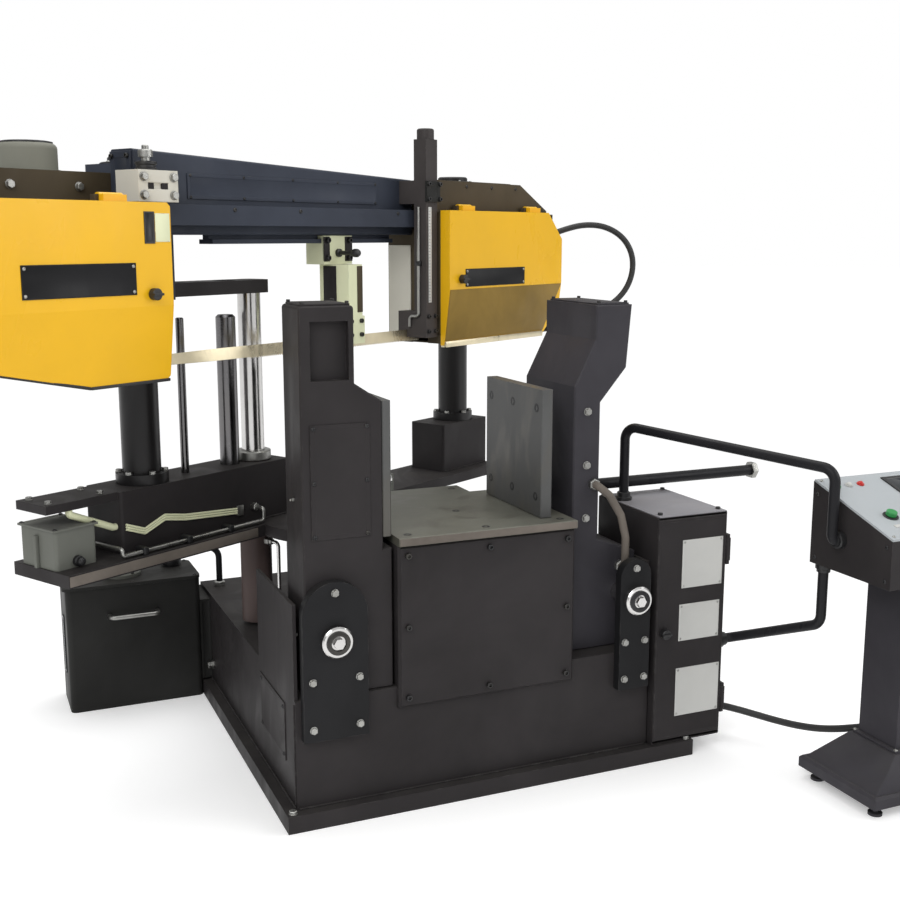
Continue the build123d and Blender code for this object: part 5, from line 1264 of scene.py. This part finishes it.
@dataclass
class Bow(BowSide):
    """The saw bow: covers, bolts, drive trim, wiper rings, guide post and the blade's teeth."""

    body: str = "bow"
    back: float = 136

    def build(self) -> None:
        """Builds every fitting of the bow."""
        self.beam()
        self.bracket()
        self.drive()
        self.sleeves()
        self.housings()
        self.post()
        self.blade()
        self.hose_ends()

    def beam(self) -> None:
        """Builds the beam's end cap and front cover, and the screws of the guard."""
        self.tray("beam_end_cap", (-783, 32, 1606), (-776, 114, 1814), LEFT, 16, 2, Coat.SLATE)
        self.screws("end_cap_screws", Fastener.SOCKET, 8, grid((-783,), (42, 104), (1618, 1802)), LEFT)
        self.tray("beam_cover", (-600, 24.5, 1696), (190, 28, 1764), FRONT, 9, 1.2, Coat.SLATE)
        heads = grid((-590, -393, -195, 2, 180), (24.5,), (1701, 1759))
        self.screws("beam_cover_screws", Fastener.BUTTON, 5, heads, FRONT)
        heads = grid((-740, -480, -220, 230), (-28,), (1668,))
        self.screws("guard_screws", Fastener.BUTTON, 7, heads, FRONT)

    def bracket(self) -> None:
        """Builds the pale cap over the tension bracket, its bolts, the screw and its springs."""
        self.tray("tension_cap", (-836, -63, 1683), (-708, 26, 1762), FRONT, 30, 8, Coat.PALE_GREY)
        heads = grid((-820, -724), (-63,), (1700, 1745))
        self.screws("bracket_bolts", Fastener.HEX, 12, heads, FRONT, Coat.ZINC)
        spindle = ((12, 0), (12, 34), (19, 34), (19, 50), (16, 53), (9, 53), (9, 62), (7, 64))
        self.turned("tension_screw", spindle, (-772, -16, 1762), UP, Coat.ZINC, 12)
        washers = ((28, 0), (28, 6), (25, 8), (25, 14), (28, 16), (28, 22), (20, 24))
        self.turned("tension_springs", washers, (-772, -16, 1762), UP, Coat.OXIDE)

    def drive(self) -> None:
        """Builds the motor's fan cover and terminal box and the gearbox's cover, bolts and oil sight."""
        fan = [(66, 0), (66, 4), (56, 6), (56, 2), (42, 2), (42, 6)]
        fan += [(36, 6), (36, 2), (22, 2), (22, 6), (8, 8)]
        self.turned("motor_fan_cover", fan, (-960, 218, 1829), UP, Coat.BLACK_PLASTIC)
        low, high = (-1078, 176, 1630), (-1034, 260, 1720)
        self.tray("motor_terminal_box", low, high, LEFT, 8, -4, Coat.MOTOR_GREY)
        heads = grid((-1182, -1060), (156, 282), (1545,))
        self.screws("gearbox_bolts", Fastener.HEX, 10, heads, UP, Coat.ZINC)
        self.tray("gearbox_cover", (-1185, 300, 1400), (-895, 308, 1530), REAR, 22, -6, Coat.MOTOR_GREY)
        heads = grid((-1174, -1040, -906), (308,), (1411, 1519))
        self.screws("gearbox_cover_bolts", Fastener.HEX, 8, heads, REAR, Coat.ZINC)
        level = ((14, 0), (14, 6), (11, 7), (11, 5))
        self.turned("oil_sight", level, (-1040, 314, 1440), REAR, Coat.GLASS, 20)

    def sleeves(self) -> None:
        """Builds the wiper ring and its screws at both ends of each sleeve."""
        lip = ((56, 0), (76, 0), (76, 4), (72, 6), (57, 6), (56, 5))
        for number, along in enumerate(self.pillars):
            for end, high, way in (("top", 1790, UP), ("bottom", 1420, DOWN)):
                foot = (along, self.pillar_v, high)
                self.turned(f"wiper_{end}_{number}", lip, foot, way, Coat.OXIDE, hollow=True)
                feet = ring((along, self.pillar_v, high + 6 * way[2]), 66, 6)
                self.screws(f"wiper_screws_{end}_{number}", Fastener.BUTTON, 6, feet, way, Coat.ZINC)

    def housings(self) -> None:
        """Builds the pale plate on the right end wall, the bolts, the bearing cap and the hood's lid."""
        self.tray("end_wall_plate", (375, 37, 1268), (382, 132, 1566), LEFT, 8, 0.6, Coat.PALE_GREY)
        heads = grid((-1390, -1230, -1080, -880), (118,), (1722,))
        self.screws("back_plate_bolts", Fastener.HEX, 12, heads, FRONT, Coat.ZINC)
        hood = grid((410, 560, 710, 860), (-62,), (1762,)) + [(1050, -62, 1684)]
        self.screws("hood_screws", Fastener.BUTTON, 7, hood, FRONT)
        self.tray("hood_lid", (420, -40, 1778), (860, 96, 1781), UP, 12, -1.2, Coat.UMBER)
        cap = ((74, 0), (74, 10), (62, 14), (40, 20), (26, 20), (24, 17))
        self.turned("idler_cap", cap, (720, self.back, 1462), REAR, Coat.IRON)
        heads = upright_ring((720, 146, 1462), 66, 6)
        self.screws("idler_cap_bolts", Fastener.HEX, 8, heads, REAR, Coat.ZINC)
        right = ((420, 1280), (420, 1560), (1030, 1280), (1030, 1600), (590, 1600))
        left = ((-1390, 1360), (-1390, 1700), (-860, 1420), (-860, 1700), (-1230, 1330))
        for side, spots in (("right", right), ("left", left)):
            feet = [(along, self.back, high) for along, high in spots]
            self.screws(f"{side}_back_bolts", Fastener.HEX, 12, feet, REAR, Coat.ZINC)

    def post(self) -> None:
        """Builds the clamp, the blank scale, the coolant pipe and the screws of the guide post."""
        self.tray("post_clamp", (300, -94, 1706), (370, -84, 1772), FRONT, 14, 1.5, Coat.DEEP_CHARCOAL)
        self.screws("post_clamp_screws", Fastener.SOCKET, 9, grid((307, 365), (-94,), (1715, 1763)), FRONT)
        self.block("post_scale", (318, -85.2, 1380), (334, -84, 1690), 0.3, Coat.PLATE)
        tick = Bench.block("tick", (319, -85.6, 1386), (327, -85.2, 1387), 0.1)
        self.add(Bench.row("post_ticks", tick, (0, 0, 10), 30), Coat.BLACK)
        line = [(298, -58, 1690), (298, -58, 1335), (298, -20, 1335), (298, -20, 1300)]
        self.pipe("coolant_line", line, 5, 12, Coat.ZINC)
        self.block("line_clip", (292, -66, 1500), (308, -50, 1516), 2, Coat.BLACK_PLASTIC)
        self.screws("guide_screws", Fastener.SOCKET, 9, grid((318, 354), (-84,), (1285, 1335)), FRONT)

    def blade(self) -> None:
        """Cuts the row of teeth under the blade's lower run."""
        tooth = Bench.block("tooth", (-416, -0.6, 1250.5), (-408, 0.6, 1255))
        tip, root, rake = (0.15, 1.5, 1), (-0.412, 0, 1.2505), (0.0034, 0, 0)
        with Bench.faces(tooth, looking(DOWN)):
            bpy.ops.transform.resize(value=tip, center_override=root)
            bpy.ops.transform.translate(value=rake)
        pitch, count = (8, 0, 0), 98
        self.add(Bench.row("blade_teeth", tooth, pitch, count), Coat.BLADE)

    def hose_ends(self) -> None:
        """Builds the hexagons on the stubs at the hose's ends."""
        nut = Bench.turned("nut", ((19, 0), (20, 2), (20, 18), (18, 20)), sides=6)
        stub = 22
        places = []
        for end, following in ((HOSE_ROUTE[0], HOSE_ROUTE[1]), (HOSE_ROUTE[-1], HOSE_ROUTE[-2])):
            way = (Vector(following) - Vector(end)).normalized()
            places.append(Bench.standing(tuple(Vector(end) - way * stub), tuple(way)))
        self.add(Bench.copies("hose_nuts", nut, places), Coat.ZINC)


@dataclass
class LeftGuide(BowSide):
    """The sliding blade guide: wear plates, a painted-shade sheet, screws and the lever that locks it."""

    body: str = "left_guide"

    def build(self) -> None:
        """Builds every fitting of the guide."""
        # The first box is a dark sheet on the arm's left face, which is painted shade; the other two are
        # wear plates.
        boxes = (
            ((-25, 15, 1362), (-18, 68, 1505)),
            ((-55, 32.5, 1519), (-30, 40, 1595)),
            ((42, 32.5, 1519), (75, 40, 1595)),
        )
        plates = [Bench.block("plate", low, high, 1) for low, high in boxes]
        self.add(Bench.joined("guide_wear_plates_and_shade_sheet", plates), Coat.CHARCOAL)
        self.block("guide_front_plate", (18, -37.5, 1362), (42, -30, 1505), 1, Coat.UMBER)
        self.screws("carriage_screws", Fastener.SOCKET, 11, grid((-42, 58), (32.5,), (1530, 1584)), FRONT)
        self.screws("guide_head_screws", Fastener.SOCKET, 9, grid((-14, 34), (-35,), (1292, 1335)), FRONT)
        stem = ((13, 0), (13, 8), (7, 10), (6, 58), (10, 60), (13, 68), (13, 80), (9, 87), (3, 89))
        self.turned("lock_lever", stem, (10, 35, 1545), FRONT, Coat.BLACK_PLASTIC, 20)


@dataclass
class WheelDoor(BowSide):
    """One yellow wheel cover: a blank dark plate with rivets."""

    front: float = -130
    plate: Box = (0, 0, 1, 1)

    def build(self) -> None:
        """Builds the plate and its rivets."""
        names = (f"{self.body}_plate", f"{self.body}_rivets")
        self.blank_plate(names, self.plate, self.front, (3, 8, 5), Coat.BLACK)


@dataclass
class LeftDoor(WheelDoor):
    """The left wheel cover: plate, slot with its pale strip, and the rubber rim along the bottom."""

    body: str = "left_door"
    plate: Box = (-1230, 1455, -910, 1533)

    def build(self) -> None:
        """Builds every fitting of the left door."""
        super().build()
        low, high = (-879, self.front - 2, 1579), (-847, self.front, 1657)
        self.tray("door_slot", low, high, FRONT, 4, 1.6, Coat.BLACK_PLASTIC)
        low, high = (-845, self.front - 1.2, 1583), (-799, self.front, 1653)
        self.block("door_strip", low, high, 0.4, Coat.LIGHT_GREY)
        level = Bench.block("level", (-1040, -109, 1230), (-797, -92, 1238), 2)
        rise = Bench.block("rise", (-402, -109, -5), (0, -92, 3), 2)
        slope = 0.22
        turn = Matrix.Rotation(math.atan(slope), 4, "Y")
        Bench.settle(rise, Matrix.Translation((-1.040, 0, 1.235)) @ turn)
        self.add(Bench.joined("left_door_rim", [level, rise]), Coat.RUBBER)


@dataclass
class RightDoor(WheelDoor):
    """The right wheel cover: plate, the lower panel in painted-shade ochre and the pale lip along the
    bottom.
    """

    body: str = "right_door"
    plate: Box = (462, 1428, 820, 1488)

    def build(self) -> None:
        """Builds every fitting of the right door."""
        super().build()
        # The lower panel leans in under the crease and is painted darker ochre as painted shade.
        skirt = Bench.block("right_door_skirt", (376, -2.2, -176), (1072, 0, -4))
        taper, corner = (0.864, 1, 1), (0.376, 0, -0.176)
        with Bench.faces(skirt, looking(DOWN)):
            bpy.ops.transform.resize(value=taper, center_override=corner)
        lean = Matrix.Rotation(math.atan2(24, 190), 4, "X")
        Bench.settle(skirt, Matrix.Translation((0, -0.130, 1.425)) @ lean)
        self.add(Bench.rounded(skirt, 0.6), Coat.OCHRE)
        self.block("right_door_lip", (375, -113, 1229), (976, -92, 1249), 2, Coat.BLADE)


@dataclass
class LeftVise(SubAssembly):
    """The fixed jaw's tower: cap, cover plate, jaw screws and grease nipples."""

    body: str = "left_vise"

    def build(self) -> None:
        """Builds every fitting of the left tower."""
        heads = grid((-330,), (-580, -410, -240), (850, 1110))
        self.screws("left_jaw_screws", Fastener.SUNK, 14, heads, RIGHT)
        self.tray("left_tower_cover", (-556, -619, 800), (-390, -616, 1110), FRONT, 12, 0.9, Coat.CHARCOAL)
        heads = grid((-547, -399), (-619,), (809, 955, 1101))
        self.screws("left_cover_screws", Fastener.BUTTON, 7, heads, FRONT)
        self.tray("left_tower_cap", (-572, -608, 1420), (-438, -470, 1425), UP, 10, -1.5, Coat.CHARCOAL)
        self.screws("left_cap_screws", Fastener.SOCKET, 7, grid((-566, -444), (-602, -476), (1425,)), UP)
        nipple = Bench.turned("nipple", ((5, 0), (5, 4), (3, 5), (3, 9), (4, 10), (2, 13)), sides=12)
        feet = grid((-580,), (-540,), (520, 900))
        self.several("left_grease_nipples", nipple, feet, LEFT, Coat.ZINC)


@dataclass
class RightVise(SubAssembly):
    """The clamping side's tower: bolts, cap, hose and the rings that the rod runs through."""

    body: str = "right_vise"

    def build(self) -> None:
        """Builds every fitting of the right tower."""
        bush = ((19, 0), (34, 0), (34, 10), (30, 14), (20, 14), (19, 12))
        for name, across, way in (("left", 262, LEFT), ("right", 350, RIGHT)):
            self.turned(f"rod_bush_{name}", bush, (across, *VISE_ROD), way, Coat.ZINC, hollow=True)
        heads = grid((306,), (-560,), (770, 930, 1090))
        self.screws("right_tower_bolts", Fastener.HEX, 12, heads, FRONT, Coat.ZINC)
        self.tray("right_tower_cap", (338, -552, 1400), (442, -258, 1405), UP, 10, -1.5, Coat.GRAPHITE)
        self.screws("right_cap_screws", Fastener.SOCKET, 7, grid((345, 435), (-545, -265), (1405,)), UP)
        line = [
            (330, -556, 872),
            (330, -588, 872),
            (368, -592, 840),
            (408, -594, 776),
            (426, -594, 706),
            (426, -594, 612),
            (426, -556, 612),
        ]
        self.pipe("vise_hose", line, 12, 20, Coat.BARE_EDGE)
        nut = Bench.turned("nut", ((18, 0), (18, 14), (15, 17)), sides=6)
        self.several("vise_hose_nuts", nut, [(330, -558, 872), (426, -558, 612)], FRONT, Coat.ZINC)


@dataclass
class RightJaw(SubAssembly):
    """The clamping jaw: its screws, the rod's collar and the end nut."""

    body: str = "right_jaw"

    def build(self) -> None:
        """Builds every fitting of the clamping jaw."""
        heads = grid((140,), (-555, -400, -250), (850, 1110))
        self.screws("right_jaw_screws", Fastener.SUNK, 14, heads, LEFT)
        collar = ((42, 0), (42, 8), (32, 12), (32, 20), (24, 24))
        self.turned("rod_collar", collar, (176, *VISE_ROD), RIGHT, Coat.OXIDE)
        end = ((28, 0), (29, 2), (29, 18), (26, 21))
        self.turned("rod_nut", end, (1070, *VISE_ROD), RIGHT, Coat.ZINC, 6)


@dataclass
class ScrewEnd(SubAssembly):
    """The collar around the hexagon on one adjusting screw."""

    across: float = 0

    def build(self) -> None:
        """Builds the collar."""
        collar = ((20, 0), (33, 0), (33, 4), (30, 6), (21, 6), (20, 4))
        foot = (self.across, -678, 530)
        self.turned(f"{self.body}_collar", collar, foot, FRONT, Coat.OXIDE, hollow=True)


SUB_ASSEMBLIES: tuple[SubAssembly, ...] = (
    BaseFittings(),
    CoolantUnit(),
    HydraulicUnit(),
    CabinetFittings(),
    CabinetDoor(),
    Console(),
    Turntable(),
    Bow(),
    LeftGuide(),
    LeftDoor(),
    RightDoor(),
    LeftVise(),
    RightVise(),
    RightJaw(),
    ScrewEnd("left_screw", across=-506),
    ScrewEnd("right_screw", across=430),
)


@dataclass
class FlexibleRun:
    """A free hose or cable on one smooth curve from exit to far end."""

    node: str
    body: str
    route: Sequence[Point]
    place: Matrix
    length: float
    lay: str
    diameter: float = 0.022
    stiffness: str = "stiff"

    def build(self) -> None:
        name = f"{self.node}_run"
        curve = bpy.data.curves.new(name, "CURVE")
        curve.dimensions = "3D"
        curve.bevel_depth = self.diameter / 2
        curve.bevel_resolution = 6
        curve.resolution_u = 16
        curve.use_fill_caps = True
        spline = curve.splines.new("NURBS")
        points = [self.place @ (Vector(point) * MM) for point in self.route]
        spline.points.add(len(points) - 1)
        for knot, point in zip(spline.points, points):
            knot.co = (*point, 1.0)
        spline.order_u = 3
        spline.use_endpoint_u = True
        run = added(name, curve)
        curve.materials.append(Coat.RUBBER.material)
        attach(run, self.body)
        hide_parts(self.node)
        log.info("cord %s, %.3f m", name, self.length)


CORDS = (
    FlexibleRun("tension_hose", "bow", HOSE_ROUTE, BOW_FRAME, length=0.863, lay="hanging"),
    FlexibleRun("floor_conduit", "base", FLOOR_ROUTE, SAW_FRAME, length=0.539, lay="loose"),
)


@dataclass
class Studio:
    """The pale floor, the soft lights and the camera at the photograph's angle."""

    eye: Point = (-1.431, -3.589, 1.6)
    bearing: float = 23.2
    pitch: float = 10.2
    lens: float = 47.8
    sensor: float = 36.0
    floor_radius: float = 60.0

    def build(self) -> None:
        """Sets the floor, the lights, the sky and the camera."""
        self.floor()
        self.sky()
        self.lamp("key_light", (-3.4, -4.2, 4.6), (0.0, -0.2, 0.9), 3.6, 180.0)
        self.lamp("fill_light", (4.6, -3.4, 3.2), (0.2, -0.4, 0.7), 3.4, 115.0)
        self.lamp("top_light", (0.3, 1.0, 5.6), (0.0, 0.0, 0.6), 4.2, 120.0)
        self.camera()

    def floor(self) -> None:
        """Lays a plain pale floor that turns to bright white further out."""
        Bench.clear()
        bpy.ops.mesh.primitive_circle_add(vertices=96, radius=self.floor_radius, fill_type="NGON")
        ground = bpy.context.object
        ground.name = "studio_floor"
        material, sheet, shader, place = Sheet.for_material("floor_paper")
        grain = sheet.effect(SharedEffects.surface_grain, place, Fine=300.0, Broad=0.4)
        pale = sheet.blend(grain["Tone"], (0.90, 0.90, 0.90), (0.93, 0.93, 0.93))
        reach = sheet.put("ShaderNodeVectorMath", {0: place}, operation="LENGTH").outputs["Value"]
        away = sheet.spread(reach, 1.2, 3.2)
        sheet.feed(shader["Base Color"], sheet.blend(away, pale, (0.0, 0.0, 0.0)))
        sheet.feed(shader["Emission Color"], (1.0, 1.0, 1.0, 1.0))
        sheet.feed(shader["Emission Strength"], sheet.spread(away, 0.0, 1.0, 0.25))
        sheet.feed(shader["Roughness"], 0.85)
        ground.data.materials.append(material)

    def sky(self) -> None:
        """Gives a white backdrop whose light is brighter overhead than at the horizon."""
        world = bpy.data.worlds.new("studio_sky")
        bpy.context.scene.world = world
        world.use_nodes = True
        sheet = Sheet(world.node_tree)
        backdrop = world.node_tree.nodes["Background"].inputs
        place = sheet.put("ShaderNodeTexCoord").outputs["Generated"]
        height = sheet.put("ShaderNodeSeparateXYZ", {0: place}).outputs["Z"]
        glow = sheet.spread(height, -0.05, 0.9, 0.30, 0.70)
        seen = sheet.put("ShaderNodeLightPath").outputs["Is Camera Ray"]
        sheet.feed(backdrop["Strength"], sheet.sum("MAXIMUM", glow, seen))
        sheet.feed(backdrop["Color"], (1.0, 1.0, 1.0, 1.0))

    def lamp(self, name: str, place: Point, target: Point, size: float, power: float) -> None:
        """Hangs a square soft light that looks at a target."""
        light = bpy.data.lights.new(name, "AREA")
        light.shape = "SQUARE"
        light.size = size
        light.energy = power
        lamp = added(name, light)
        lamp.location = place
        lamp.rotation_euler = (Vector(target) - Vector(place)).to_track_quat("-Z", "Y").to_euler()

    def camera(self) -> None:
        """Stands the camera at the photograph's viewpoint."""
        data = bpy.data.cameras.new("photo_camera")
        data.lens = self.lens
        data.sensor_width = self.sensor
        data.sensor_fit = "HORIZONTAL"
        data.clip_start = 0.05
        data.clip_end = 300.0
        eye = added("photo_camera", data)
        eye.location = self.eye
        eye.rotation_euler = (math.radians(90 - self.pitch), 0.0, -math.radians(self.bearing))
        bpy.context.scene.camera = eye
        bpy.context.scene.view_settings.view_transform = "Standard"


def main() -> None:
    """Dresses the frame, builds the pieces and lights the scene."""
    logging.basicConfig(level=logging.INFO, format="%(name)s: %(message)s")
    dress_nodes()
    for assembly in SUB_ASSEMBLIES:
        assembly.build()
    for cord in CORDS:
        cord.build()
    Studio().build()


if __name__ == "__main__":
    main()
